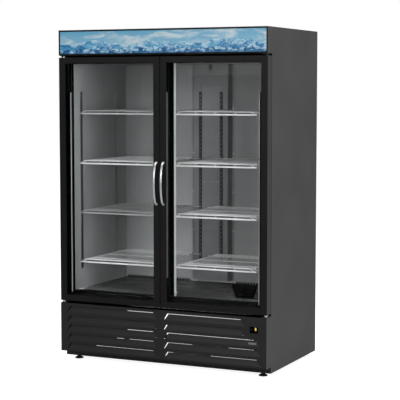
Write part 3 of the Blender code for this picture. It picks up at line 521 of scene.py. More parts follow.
    def stand_in(self, node, look, slot=None, smooth=35.0):
        """Finish the mesh as the piece that stands for one CAD node, on that node's body."""
        return self.piece("look_" + node, look, BODY_OF[node], slot, (node,), smooth)


SLOT_OF = {entry["node"]: entry["material_slot"] for entry in frame["record"]["subparts"]}
BODY_OF = {node: body for body, members in frame["record"]["behaviour"]["bodies"].items()
           for node in members}


def arc(centre, radius, start, end, steps):
    """Points of a circular arc, angles in degrees."""
    points = []
    for step in range(steps + 1):
        angle = math.radians(start + (end - start) * step / steps)
        points.append((centre[0] + radius * math.cos(angle), centre[1] + radius * math.sin(angle)))
    return points


def spread(start, span, steps):
    """Even places from start over a span, both ends included."""
    return [start + span * index / steps for index in range(steps + 1)]


def rounded_outline(low, high, radius, steps=4):
    """A rectangle with round corners, as a closed outline."""
    (x0, y0), (x1, y1) = low, high
    points = []
    for cx, cy, start in ((x1 - radius, y0 + radius, -90), (x1 - radius, y1 - radius, 0),
                          (x0 + radius, y1 - radius, 90), (x0 + radius, y0 + radius, 180)):
        points += arc((cx, cy), radius, start, start + 90, steps)
    return points


def softened(node, look, width=0.001, segments=2, corner=28.0, smooth=35.0):
    """A copy of a CAD node whose hard edges are rolled over, standing for the node."""
    shape = Shape()
    shape.bm.from_mesh(nodes[node].data)
    bm = shape.bm
    bmesh.ops.remove_doubles(bm, verts=bm.verts, dist=0.00002)
    bmesh.ops.dissolve_limit(bm, angle_limit=math.radians(1.0), verts=bm.verts, edges=bm.edges)
    sharp = [edge for edge in bm.edges
             if len(edge.link_faces) == 2 and edge.calc_face_angle() > math.radians(corner)]
    bmesh.ops.bevel(bm, geom=sharp, offset=width, segments=segments, profile=0.5,
                    affect="EDGES", clamp_overlap=True)
    return shape.stand_in(node, look, SLOT_OF[node], smooth)


def repaint(node, look):
    """Keep a CAD node's shape and give it a finished material."""
    obj = nodes[node]
    obj.data.materials.clear()
    obj.data.materials.append(LOOKS[look])


def screw_heads(name, places, facing, body, look="zinc", radius=0.004):
    """Pan-head screws with a cross recess, on faces that look along -Y, +Y, +X, -X or +Z."""
    shape = Shape()
    turns = {"-Y": Matrix.Rotation(math.pi / 2, 4, "X"), "+Y": Matrix.Rotation(-math.pi / 2, 4, "X"),
             "+X": Matrix.Rotation(math.pi / 2, 4, "Y"), "-X": Matrix.Rotation(-math.pi / 2, 4, "Y"),
             "+Z": Matrix.Identity(4)}
    for index, place in enumerate(places):
        head = Shape()
        profile = [(0.0, 0.0), (radius, 0.0), (radius, 0.0006), (radius * 0.86, 0.0016),
                   (radius * 0.55, 0.0023), (0.0, 0.0026)]
        head.lathe(profile, (0, 0, 0), steps=14)
        for turn in (0.0, math.pi / 2):
            bar = Shape()
            bar.box((-radius * 0.62, -radius * 0.10, 0.0020), (radius * 0.62, radius * 0.10, 0.00275))
            bar.moved(Matrix.Rotation(turn + index * 0.7, 4, "Z"))
            absorb(head, bar)
        head.moved(Matrix.Translation(place) @ turns[facing])
        absorb(shape, head)
    return shape.piece(name, look, body)


def absorb(shape, other):
    """Move another shape's mesh into this one."""
    mesh = bpy.data.meshes.new("part_of_shape")
    other.bm.to_mesh(mesh)
    other.bm.free()
    shape.bm.from_mesh(mesh)
    bpy.data.meshes.remove(mesh)


# ---------------------------------------------------------------- camera, floor and light
CAMERA_PLACE = (3.4888, -7.3770, 1.6771)
CAMERA_TILT, CAMERA_TURN = 85.2, 24.793         # degrees
CAMERA_LENS = 118.85                            # mm, on a 36 mm sensor


def studio():
    camera = bpy.data.objects.new("camera", bpy.data.cameras.new("camera"))
    scene.collection.objects.link(camera)
    camera.location = CAMERA_PLACE
    camera.rotation_euler = (math.radians(CAMERA_TILT), 0.0, math.radians(CAMERA_TURN))
    camera.data.lens = CAMERA_LENS
    camera.data.sensor_width = 36.0
    scene.camera = camera
    scene.view_settings.view_transform = "Standard"

    world = bpy.data.worlds.new("studio")
    world.use_nodes = True
    tree = world.node_tree
    backdrop = tree.nodes["Background"]
    backdrop.inputs["Color"].default_value = (1.0, 1.0, 1.0, 1.0)
    backdrop.inputs["Strength"].default_value = 1.0
    ambient = tree.nodes.new("ShaderNodeBackground")
    ambient.inputs["Color"].default_value = (1.0, 1.0, 1.0, 1.0)
    ambient.inputs["Strength"].default_value = 0.34
    path = tree.nodes.new("ShaderNodeLightPath")
    both = tree.nodes.new("ShaderNodeMixShader")
    tree.links.new(path.outputs["Is Camera Ray"], both.inputs[0])
    tree.links.new(ambient.outputs[0], both.inputs[1])
    tree.links.new(backdrop.outputs[0], both.inputs[2])
    tree.links.new(both.outputs[0], tree.nodes["World Output"].inputs["Surface"])
    scene.world = world

    def softbox(name, place, target, size, power):
        lamp = bpy.data.lights.new(name, "AREA")
        lamp.shape = "RECTANGLE"
        lamp.size, lamp.size_y = size
        lamp.energy = power
        obj = bpy.data.objects.new(name, lamp)
        scene.collection.objects.link(obj)
        obj.location = place
        aim = Vector(target) - Vector(place)
        obj.rotation_euler = aim.to_track_quat("-Z", "Y").to_euler()

    softbox("overhead", (0.0, -0.6, 5.2), (0.0, -0.3, 0.0), (6.0, 5.0), 330.0)
    softbox("key_right", (5.0, -3.6, 2.2), (0.0, 0.0, 1.0), (2.4, 3.0), 124.0)
    softbox("fill_front", (-1.4, -7.0, 2.8), (0.0, 0.0, 0.9), (3.0, 2.0), 132.0)

    bm = bmesh.new()
    bmesh.ops.create_circle(bm, cap_ends=True, segments=64, radius=30.0)
    mesh = bpy.data.meshes.new("floor")
    bm.to_mesh(mesh)
    bm.free()
    floor_look = Look("floor_white", Specular_IOR_Level=0.1, Roughness=0.8)
    grain = floor_look.noise(40.0, 3.0, 0.5)
    floor_look.use("Base Color", floor_look.mix(grain, (0.50, 0.50, 0.50), (0.54, 0.54, 0.54)))
    floor_look.use("Emission Color", (1.0, 1.0, 1.0))
    seen = floor_look.tree.nodes.new("ShaderNodeLightPath").outputs["Is Camera Ray"]
    floor_look.use("Emission Strength", floor_look.math("MULTIPLY", seen, 0.90))
    mesh.materials.append(floor_look.mat)
    floor = bpy.data.objects.new("floor", mesh)
    floor.location.z = -0.0005
    scene.collection.objects.link(floor)


# ---------------------------------------------------------------- cabinet skins and liner
def cabinet_skins():
    """Side panels, top and back, with rolled edges, seams and the back panel's screws and ribs."""
    for side in DOORS:
        softened("side_panel_" + side, "side_grey", 0.0006)
    softened("top_and_back_panel", "side_grey", 0.0006)
    low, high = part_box("top_and_back_panel")
    places = []
    for z in spread(low.z + 0.06, high.z - low.z - 0.12, 6):
        places += [(low.x + 0.014, high.y, z), (high.x - 0.014, high.y, z)]
    places += [(x, high.y, low.z + 0.014) for x in spread(low.x, high.x - low.x, 8)[1:-1]]
    screw_heads("back_screws", places, "+Y", "cabinet")
    stiffeners = Shape()
    for x in (-0.46, -0.23, 0.0, 0.23, 0.46):
        profile = arc((x, high.y - 0.0002), 0.009, 180, 0, 8)
        outline = [(u, high.y + (v - high.y) * 0.33) for u, v in profile]
        stiffeners.prism(outline, "Z", low.z + 0.12, high.z - 0.12)
    stiffeners.piece("back_stiffeners", "side_grey", "cabinet")


def liner_shell():
    """Inner liner with coved corners, folded from thin embossed sheet."""
    low = LINER_LOW + Vector((LINER_WALL, 0.0, LINER_WALL))
    high = LINER_HIGH - Vector((LINER_WALL, LINER_WALL, LINER_WALL))
    shape = Shape()
    shape.box(low, high)
    bm = shape.bm
    mouth = min(bm.faces, key=lambda face: face.calc_center_median().y)
    bmesh.ops.delete(bm, geom=[mouth], context="FACES_ONLY")
    folds = [edge for edge in bm.edges if len(edge.link_faces) == 2]
    bmesh.ops.bevel(bm, geom=folds, offset=0.006, segments=4, profile=0.5, affect="EDGES")
    bmesh.ops.recalc_face_normals(bm, faces=bm.faces)
    obj = shape.piece("look_liner", "liner_grey", "cabinet", stands_for=("liner",))
    shell = obj.modifiers.new("sheet", "SOLIDIFY")
    shell.thickness = 0.0009
    shell.offset = 1.0
    repaint("insulation", "foam")


def breaker_strip():
    """Black plastic trim that lines the mouth of the compartment."""
    reach = 0.023
    strip = Shape()
    profile = [(0.0002, 0.0), (0.0002, reach), (0.0010, reach), (0.0016, reach - 0.001), (0.0016, 0.001),
               (0.0010, 0.0)]
    strip.frame((LINER_LOW.x + LINER_WALL, LINER_LOW.y, LINER_LOW.z + LINER_WALL),
                (LINER_HIGH.x - LINER_WALL, LINER_HIGH.z - LINER_WALL), profile)
    strip.piece("breaker_strip", "trim_black", "cabinet", slot="plastic_black")
    sill = Shape()
    floor = LINER_LOW.z + LINER_WALL
    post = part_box("mullion")[1].x + 0.0006
    outline = [(LINER_LOW.y + 0.0004, floor), (LINER_LOW.y + 0.0004, floor + 0.0064),
               (LINER_LOW.y + 0.0020, floor + 0.0076), (LINER_LOW.y + 0.0460, floor + 0.0076),
               (LINER_LOW.y + 0.0520, floor + 0.0006), (LINER_LOW.y + 0.0520, floor)]
    for x0, x1 in ((LINER_LOW.x + 0.0032, -post), (post, LINER_HIGH.x - 0.0032)):
        sill.prism(outline, "X", x0, x1)
    sill.piece("threshold", "trim_black", "cabinet", slot="plastic_black")


def face_and_header():
    softened("face_frame", "trim_black", 0.0008)
    softened("header_box", "frame_black", 0.0018, segments=3)
    repaint("sign_panel", "sign")
    repaint("sign_lamp", "diffuser")
    softened("mullion", "trim_black", 0.0025, segments=3)


def lamp_bar(node, bulge):
    """Opal lamp cover: a long bar with a rounded section and end caps."""
    (x0, y0, z0), (x1, y1, z1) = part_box(node)
    radius = min(x1 - x0, y1 - y0) * bulge
    outline = rounded_outline((x0, y0), (x1, y1), radius, 5)
    Shape().prism(outline, "Z", z0 + 0.012, z1 - 0.012).stand_in(node, "diffuser", smooth=50.0)
    caps = Shape()
    grow = 0.0006
    cap_outline = rounded_outline((x0 - grow, y0), (x1 + grow, y1 + grow * 0.5), radius, 5)
    for za, zb in ((z0, z0 + 0.014), (z1 - 0.014, z1)):
        caps.prism(cap_outline, "Z", za, zb)
    caps.piece(node + "_caps", "diffuser", BODY_OF[node])


def mullion_lamp():
    lamp_bar("mullion_lamp", 0.12)
    low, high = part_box("mullion_lamp")
    bracket = Shape()
    bracket.box((high.x - 0.001, low.y + 0.004, low.z + 0.020),
                (high.x + 0.014, low.y + 0.022, low.z + 0.024), 0.0008)
    bracket.piece("mullion_lamp_bracket", "shelf_white", "cabinet")


# ---------------------------------------------------------------- rear duct and probe
def rear_duct():
    # the duct's darker liner grey is painted shade
    softened("rear_duct", "duct_painted_shade", 0.0015)
    low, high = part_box("rear_duct")
    slopes = Shape()
    for sign in (-1, 1):
        x = high.x * sign
        outline = [(x, low.y + 0.0015), (x + sign * 0.0015, low.y + 0.0025),
                   (x + sign * 0.017, high.y - 0.002), (x + sign * 0.030, high.y - 0.0014),
                   (x + sign * 0.030, high.y), (x, high.y)]
        slopes.prism(outline, "Z", low.z, high.z)
    slopes.piece("duct_slopes", "duct_painted_shade", "cabinet", slot="liner_grey", smooth=15.0)
    screws = []
    for z in spread(low.z + 0.07, high.z - low.z - 0.14, 5):
        screws += [(sign * (high.x + 0.024), high.y - 0.0014, z) for sign in (-1, 1)]
    screw_heads("duct_screws", screws, "-Y", "cabinet", radius=0.0032)

    p_low, p_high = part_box("temperature_probe")
    probe = Shape()
    mid_x = (p_low.x + p_high.x) / 2
    half = 0.0072
    probe.prism(rounded_outline((mid_x - half, p_low.z + 0.010), (mid_x + half, p_high.z), 0.003, 3), "Y",
                p_low.y + 0.004, p_high.y)
    probe.rod((mid_x, (p_low.y + p_high.y) / 2, p_low.z), (mid_x, (p_low.y + p_high.y) / 2, p_low.z + 0.018),
              0.0052, 14)
    for rib in range(4):
        z = p_low.z + 0.014 + rib * 0.005
        probe.box((mid_x - half + 0.002, p_low.y + 0.0025, z),
                  (mid_x + half - 0.002, p_low.y + 0.005, z + 0.0022), 0.0006)
    probe.stand_in("temperature_probe", "plastic_black")


def air_return():
    """Folded rib along the foot of the rear wall, with a row of black pads on its face: painted shade
    standing in for small air slot openings.
    """
    y = LINER_HIGH.y - LINER_WALL
    z0 = LINER_LOW.z + LINER_WALL + 0.0008
    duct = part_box("rear_duct")[1].x + 0.040
    rib, slot_shades = Shape(), Shape()
    for x0, x1 in ((LINER_LOW.x + 0.012, -duct), (duct, LINER_HIGH.x - 0.012)):
        section = [(y, z0), (y - 0.0016, z0 + 0.0006), (y - 0.0016, z0 + 0.0164), (y, z0 + 0.0170)]
        rib.prism(section, "X", x0, x1)
        count = int((x1 - x0) / 0.0200)
        for index in range(count):
            x = x0 + 0.004 + (x1 - x0 - 0.008) * index / count
            # black pads, not holes: painted shade of the slot openings
            slot_shades.box((x, y - 0.0024, z0 + 0.0016), (x + 0.0130, y - 0.0012, z0 + 0.0146), 0.0004)
    rib.piece("air_return_rib", "liner_grey", "cabinet")
    slot_shades.piece("air_return_slot_shades", "trim_black", "cabinet", slot="plastic_black")


# ---------------------------------------------------------------- standards and shelves
def standard(node):
    """A slotted channel with pressed side flanges, and its shelf clips as in the CAD."""
    low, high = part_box(node)
    data = nodes[node].data
    # the post is the part that reaches the very top; clips are wider in plan
    top = [v.co for v in data.vertices if v.co.z > high.z - 0.001]
    x0, x1 = min(p.x for p in top), max(p.x for p in top)
    y0, y1 = min(p.y for p in top), max(p.y for p in top)
    along_y = (y1 - y0) > (x1 - x0)
    shape = Shape()

    def slab(u0, u1, d0, d1, z0, z1):
        """A bar across the channel: u is across its face, d its depth from the open face."""
        if along_y:
            face, rear = (x1, x0) if x0 < 0 else (x0, x1)
            a, b = sorted((face + (rear - face) * d0, face + (rear - face) * d1))
            shape.box((a, y0 + (y1 - y0) * u0, z0), (b, y0 + (y1 - y0) * u1, z1))
        else:
            face, rear = (y0, y1) if "duct" in node else (y1, y0)
            a, b = sorted((face + (rear - face) * d0, face + (rear - face) * d1))
            shape.box((x0 + (x1 - x0) * u0, a, z0), (x0 + (x1 - x0) * u1, b, z1))

    slab(0.0, 0.10, 0.0, 1.0, low.z, high.z)
    slab(0.90, 1.0, 0.0, 1.0, low.z, high.z)
    slab(0.08, 0.34, 0.0, 0.22, low.z, high.z)
    slab(0.66, 0.92, 0.0, 0.22, low.z, high.z)
    pitch = 0.0258
    count = int((high.z - low.z) / pitch)
    for index in range(count):
        z = low.z + pitch * index
        slab(0.33, 0.67, 0.0, 0.22, z, z + 0.013)
    slab(0.33, 0.67, 0.0, 0.22, low.z + pitch * count, high.z)
    look = STANDARD_LOOKS.get(node, "standard_dark")
    shape.stand_in(node, look, "standard_dark")
    clips = Shape()
    for top_z in SHELF_TOPS:
        clip_top = top_z - SHELF_THICK - 0.0003
        near = [v.co for v in data.vertices if clip_top - 0.0075 < v.co.z < clip_top + 0.0005]
        cx0, cx1 = min(p.x for p in near), max(p.x for p in near)
        cy0, cy1 = min(p.y for p in near), max(p.y for p in near)
        if along_y:
            cy0, cy1 = (cy0 + cy1) / 2 - 0.005, (cy0 + cy1) / 2 + 0.005
        clips.box((cx0, cy0, clip_top - 0.0020), (cx1, cy1, clip_top), 0.0005)
        if along_y:
            wall = x1 if x0 < 0 else x0
            a, b = sorted((wall, wall + (0.0016 if x0 < 0 else -0.0016)))
            clips.box((a, cy0, clip_top - 0.016), (b, cy1, clip_top), 0.0005)
    clips.piece(node + "_clips", "zinc", "cabinet")


SHELF_TOPS = [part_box(f"shelf_left_{number}")[1].z for number in range(1, 5)]
SHELF_THICK = 0.006


def wire_shelf(side, number):
    """Coated wire shelf: deck wires on cross rods, a rim, and a double front rail with swept ends."""
    node = f"shelf_{side}_{number}"
    low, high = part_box(node)
    top = high.z
    deck_r, rod_r, rim_r, rail_r, upper_r = 0.0016, 0.0026, 0.0026, 0.0046, 0.0021
    shape = Shape()
    x0, x1 = low.x + 0.004, high.x - 0.004
    # the front rail passes the outermost standard and ends just short of the wall
    tip0 = LINER_LOW.x + 0.003 if side == "left" else x0 - 0.003
    tip1 = x1 if side == "left" else x1 + 0.009
    front, back = low.y + rail_r - 0.0018, high.y - rim_r
    z, lower_z = top - rim_r, low.z + 0.0082
    inset = 0.030
    a, b = x0 + inset, x1 - inset
    # thick front rail, and a slim upper rail that slants down to its ends
    shape.tube([(tip0, front, lower_z), (tip1, front, lower_z)], rail_r, 12)
    shape.tube([(x0 + 0.001, front, lower_z + 0.002), (a - 0.003, front, z - 0.0022), (a, front, z),
                (b, front, z), (b + 0.003, front, z - 0.0022), (x1 - 0.001, front, lower_z + 0.002)],
               upper_r, 8, up=(0, 1, 0))
    # side and back rim, set in from the ends of the front rail
    rim0, rim1 = a - 0.010, b + 0.010
    shape.tube([(a, front + 0.002, z), (rim0, front + 0.014, z), (rim0, back - 0.012, z),
                (rim0 + 0.004, back - 0.004, z), (rim0 + 0.012, back, z), (rim1 - 0.012, back, z),
                (rim1 - 0.004, back - 0.004, z), (rim1, back - 0.012, z), (rim1, front + 0.014, z),
                (b, front + 0.002, z)], rim_r, 8)
    # cross rods under the deck wires, the end ones long enough to rest on the clips
    for y in (front + 0.0165, front + 0.088, (front + back) / 2, back - 0.050):
        shape.rod((rim0, y, z - 0.0004), (rim1, y, z - 0.0004), rod_r, 8)
    for y in (front + 0.0200, back - 0.094):
        shape.rod((x0, y, z - 0.0008), (x1, y, z - 0.0008), rod_r, 8)
    for x in spread(rim0, rim1 - rim0, round((rim1 - rim0) / 0.0208))[1:-1]:
        shape.tube([(x, back + 0.0005, top - deck_r), (x, front, top - deck_r)], deck_r, 6, up=(1, 0, 0))
    for share in (0.25, 0.5, 0.75):
        x = x0 + (x1 - x0) * share
        shape.rod((x, front, z), (x, front, lower_z), 0.0016, 6)
    look = SHELF_LOOKS.get(node, "shelf_white")
    shape.stand_in(node, look, "shelf_white", smooth=60.0)


# ---------------------------------------------------------------- circulation fan and cowl
def rotor(node, blades, radius, hub, depth, look="plastic_black"):
    """A fan rotor with a domed hub and twisted, swept blades, standing for the CAD rotor."""
    low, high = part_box(node)
    centre = (low + high) / 2
    shape = Shape()
    profile = [(0.0, -depth / 2), (hub * 0.7, -depth / 2), (hub * 0.95, -depth * 0.38), (hub, -depth * 0.2),
               (hub, depth / 2), (0.0, depth / 2)]
    shape.lathe(profile, centre, "Y", 28)
    rows, span = 7, 6
    for blade in range(blades):
        grid = []
        for row in range(rows):
            t = row / (rows - 1)
            r = hub * 0.9 + (radius - hub * 0.9) * t
            pitch = math.radians(38 - 20 * t)
            half = math.radians(30 + 8 * t) * (0.75 + 0.25 * t)
            line = []
            for step in range(span + 1):
                s = step / span * 2 - 1
                trim = 1.0 - 0.14 * (abs(s) ** 3) * t
                angle = 2 * math.pi * blade / blades + s * half + 0.28 * t
                lift = -s * math.sin(pitch) * depth * 0.95 + 0.15 * depth * (1 - s * s) * math.cos(pitch)
                lift = max(-depth * 0.49, min(depth * 0.49, lift))
                line.append(shape.bm.verts.new((centre.x + r * trim * math.cos(angle), centre.y + lift,
                                                centre.z + r * trim * math.sin(angle))))
            grid.append(line)
        made = []
        for first, second in zip(grid, grid[1:]):
            for step in range(span):
                corners = (first[step], first[step + 1], second[step + 1], second[step])
                made.append(shape.bm.faces.new(corners))
        bmesh.ops.solidify(shape.bm, geom=made, thickness=0.0014)
    return shape.stand_in(node, look, "plastic_black", smooth=50.0)


def fan_cowl():
    """Tapered cowl of fine black mesh on a rim, with the motor bar behind it."""
    low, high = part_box("fan_cowl")
    mid = (low.x + high.x) / 2
    top_half, foot_half = (high.x - low.x) / 2, (high.x - low.x) / 2 * 0.66
    front, back = low.y, low.y + 0.030
    height = high.z - low.z

    def half_at(t):
        return foot_half + (top_half - foot_half) * t

    shape = Shape()
    wire = 0.0014
    pitch = 0.0042
    rows = int(height / pitch)
    for index in range(rows + 1):
        t = index / rows
        z = low.z + 0.001 + (height - 0.002) * t
        half = half_at(t) - 0.002
        shape.tube([(mid - half, back, z), (mid - half, front + 0.001, z), (mid + half, front + 0.001, z),
                    (mid + half, back, z)], wire, 4)
    columns = int(2 * top_half / pitch)
    for index in range(columns + 1):
        s = index / columns * 2 - 1
        shape.rod((mid + s * (foot_half - 0.002), front + 0.001, low.z),
                  (mid + s * (top_half - 0.002), front + 0.001, high.z), wire, 4)
    for sign in (-1, 1):
        for index in range(int((back - front) / pitch)):
            y = front + pitch * (index + 1)
            shape.rod((mid + sign * (foot_half - 0.002), y, low.z),
                      (mid + sign * (top_half - 0.002), y, high.z), wire, 4)
    # lid, rim and motor bar
    shape.box((mid - top_half + 0.001, front + 0.0015, high.z - 0.0035),
              (mid + top_half - 0.001, back, high.z - 0.0005), 0.0012)
    shape.box((mid - foot_half, front + 0.0015, low.z), (mid + foot_half, back, low.z + 0.003), 0.001)
    centre_z = low.z + height / 2
    shape.box((mid - 0.062, front + 0.023, centre_z - 0.005),
              (mid + 0.062, front + 0.028, centre_z + 0.005), 0.001)
    motor = [(0.0, 0.021), (0.011, 0.021), (0.0125, 0.023), (0.0125, 0.041), (0.011, 0.044), (0.0, 0.044)]
    shape.lathe(motor, (mid, front, centre_z), "Y", 20)
    for sign in (-1, 1):
        edge = [(mid + sign * foot_half, front + 0.002, low.z + 0.001),
                (mid + sign * top_half - sign * 0.001, front + 0.002, high.z - 0.001)]
        shape.tube(edge, 0.0022, 8, up=(0, 1, 0))
    shape.stand_in("fan_cowl", "mesh_black", "plastic_black")
    rotor("circulation_fan", 5, 0.030, 0.011, 0.011, "mesh_black")


# ---------------------------------------------------------------- kick zone
PLATE_SPAN = ((0.5710, 0.2020), (0.6240, 0.2136))      # (x, z) corners of the blank plate
INDICATOR_X, INDICATOR_Z = 0.592, 0.2906               # beside the rocker, on the controller's face


def kick_zone():
    softened("kick_grille", "grille_black", 0.0005, segments=2)
    k_low, k_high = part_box("kick_grille")
    # a near-black strip over the kick's top face: painted shade for the dark gap under the doors
    top_shade = Shape()
    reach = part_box("hinge_bottom_right")[0].x - 0.002
    top_shade.box((-reach, k_low.y + 0.0008, k_high.z), (reach, k_high.y, k_high.z + 0.0007), 0.0002)
    top_shade.piece("kick_top_painted_shade", "trim_black", "cabinet", slot="rubber")
    softened("controller_case", "trim_black", 0.0009)
    softened("rocker_switch", "plastic_black", 0.0007, segments=3)
    r_low, r_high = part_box("rocker_switch")
    amber = Shape()
    amber.box((r_low.x + 0.0022, r_low.y - 0.0006, r_low.z + 0.0014),
              (r_high.x - 0.0016, r_low.y + 0.0010, r_high.z - 0.0014), 0.0005)
    amber.piece("rocker_lens", "rocker_yellow", "rocker_switch")
    case_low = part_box("controller_case")[0]
    lamp = Shape()
    lamp.lathe([(0.0, 0.0), (0.0019, 0.0), (0.0019, -0.0006), (0.0012, -0.0014), (0.0, -0.0017)],
               (INDICATOR_X, case_low.y, INDICATOR_Z), "Y", 16)
    lamp_look = Look("indicator_green", Roughness=0.2,
                     Emission_Color=(0.02, 0.45, 0.10), Emission_Strength=0.6)
    grain = lamp_look.noise(900.0, 1.0, 0.5)
    lamp_look.use("Base Color", lamp_look.mix(grain, (0.01, 0.20, 0.05), (0.02, 0.32, 0.08)))
    LOOKS["indicator_green"] = lamp_look.mat
    lamp.piece("indicator_lamp", "indicator_green", "cabinet", slot="rocker_yellow")

    # blank plate of brushed aluminium on the third louvre of the right half
    plate = Shape()
    outline = rounded_outline(*PLATE_SPAN, 0.0040, 4)
    plate.prism(outline, "Y", FRONT - 0.0020, FRONT + 0.0040)
    plate.piece("blank_plate", "blank_plate", "cabinet", slot="aluminium")

    places = [(x, k_low.y, z) for x in (k_low.x + 0.016, k_high.x - 0.016)
              for z in (k_low.z + 0.020, k_high.z - 0.020)]
    screw_heads("kick_screws", places, "-Y", "cabinet", look="plastic_black", radius=0.0038)


# ---------------------------------------------------------------- base and machine compartment
COMPRESSOR_AXIS = (0.545, 0.250)                       # (x, y) of the can
COMPRESSOR_BASE = ((0.446, 0.181), (0.644, 0.319))     # (x, y) corners of its base plate
GUARD_Y = 0.0665                                       # plane of the condenser fan's wire guard


def machine_compartment():
    softened("base_frame", "grille_black", 0.0010)
    for end in ("front", "rear"):
        for side in DOORS:
            levelling_foot(f"foot_{end}_{side}")
    softened("unit_tray", "zinc", 0.0006)
    softened("condensate_pan", "zinc", 0.0006)
    softened("cord_gland", "plastic_black", 0.0006, smooth=40.0)
    condenser()
    compressor()


def levelling_foot(node):
    """A moulded foot with a ribbed edge, a lock nut and a stem, standing for the CAD foot."""
    low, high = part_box(node)
    x, y = (low.x + high.x) / 2, (low.y + high.y) / 2
    shape = Shape()
    radius = (high.x - low.x) / 2
    profile = [(0.0, 0.0005), (radius - 0.0015, 0.0), (radius - 0.0004, 0.0008), (radius, 0.002),
               (radius, 0.0055), (radius - 0.001, 0.0068), (radius - 0.004, 0.0082), (0.0135, 0.0118),
               (0.0122, 0.0135), (0.0112, 0.0205), (0.0105, 0.0218), (0.0, 0.0222)]
    shape.lathe(profile, (x, y, 0.0), "Z", 36)
    for step in range(24):
        angle = 2 * math.pi * step / 24
        outward = Vector((math.cos(angle), math.sin(angle), 0))
        centre = Vector((x, y, 0.0)) + outward * (radius - 0.0008)
        shape.rod(centre + Vector((0, 0, 0.0016)), centre + Vector((0, 0, 0.0060)), 0.0011, 6)
    shape.stand_in(node, "plastic_black")
    stem = Shape()
    hexagon = [(x + 0.0095 * math.cos(math.radians(60 * k)), y + 0.0095 * math.sin(math.radians(60 * k)))
               for k in range(6)]
    stem.prism(hexagon, "Z", 0.0222, 0.0249)
    stem.lathe([(0.0, 0.0220), (0.0058, 0.0220), (0.0058, high.z - 0.001), (0.0048, high.z), (0.0, high.z)],
               (x, y, 0.0), "Z", 20)
    stem.piece(node + "_stem", "zinc", "cabinet")


def condenser():
    """Finned coil with copper return bends, its fan shroud with a wire guard, and the fan."""
    low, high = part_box("condenser_coil")
    coil = Shape()
    for x in spread(low.x + 0.012, high.x - low.x - 0.024, 45):
        coil.box((x - 0.0004, low.y + 0.001, low.z + 0.002), (x + 0.0004, high.y - 0.001, high.z - 0.002))
    for x in (low.x + 0.001, high.x - 0.0045):
        coil.box((x, low.y, low.z), (x + 0.0035, high.y, high.z), 0.0008)
    for z0, z1 in ((low.z, low.z + 0.002), (high.z - 0.002, high.z)):
        coil.box((low.x + 0.002, low.y, z0), (high.x - 0.002, high.y, z1), 0.0005)
    coil.stand_in("condenser_coil", "zinc")
    pipes = Shape()
    rows = spread(low.z + 0.020, high.z - low.z - 0.040, 8)
    step = (high.z - low.z - 0.040) / 8
    for layer, y in enumerate((low.y + 0.009, high.y - 0.009)):
        for z in rows:
            pipes.rod((low.x - 0.004, y, z), (high.x + 0.004, y, z), 0.0038, 10)
        for index, z in enumerate(rows[:-1]):
            edge, sign = (high.x + 0.004, 1) if (index + layer) % 2 else (low.x - 0.004, -1)
            bend = [(edge + sign * step / 2 * math.sin(math.radians(a)), y,
                     z + step / 2 - step / 2 * math.cos(math.radians(a))) for a in range(0, 181, 20)]
            pipes.tube(bend, 0.0038, 10, up=(0, 1, 0))
    pipes.piece("condenser_pipes", "copper", "cabinet", slot="zinc")

    softened("fan_shroud", "zinc", 0.0008)
    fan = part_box("condenser_fan")
    centre = (fan[0] + fan[1]) / 2
    guard = Shape()
    y = GUARD_Y
    for index in range(6):
        radius = 0.030 + 0.062 * index / 5
        angles = [step * math.pi / 18 for step in range(36)]
        ring = [(centre.x + radius * math.cos(a), y, centre.z + radius * math.sin(a)) for a in angles]
        guard.tube(ring, 0.0011, 6, up=(0, 1, 0), closed=True)
    for index in range(8):
        a = math.radians(22.5 + 45 * index)
        guard.rod((centre.x + 0.030 * math.cos(a), y + 0.0016, centre.z + 0.030 * math.sin(a)),
                  (centre.x + 0.094 * math.cos(a), y + 0.0016, centre.z + 0.094 * math.sin(a)), 0.0013, 6)
    guard.piece("fan_guard", "zinc", "cabinet")
    rotor("condenser_fan", 5, 0.084, 0.024, 0.022)


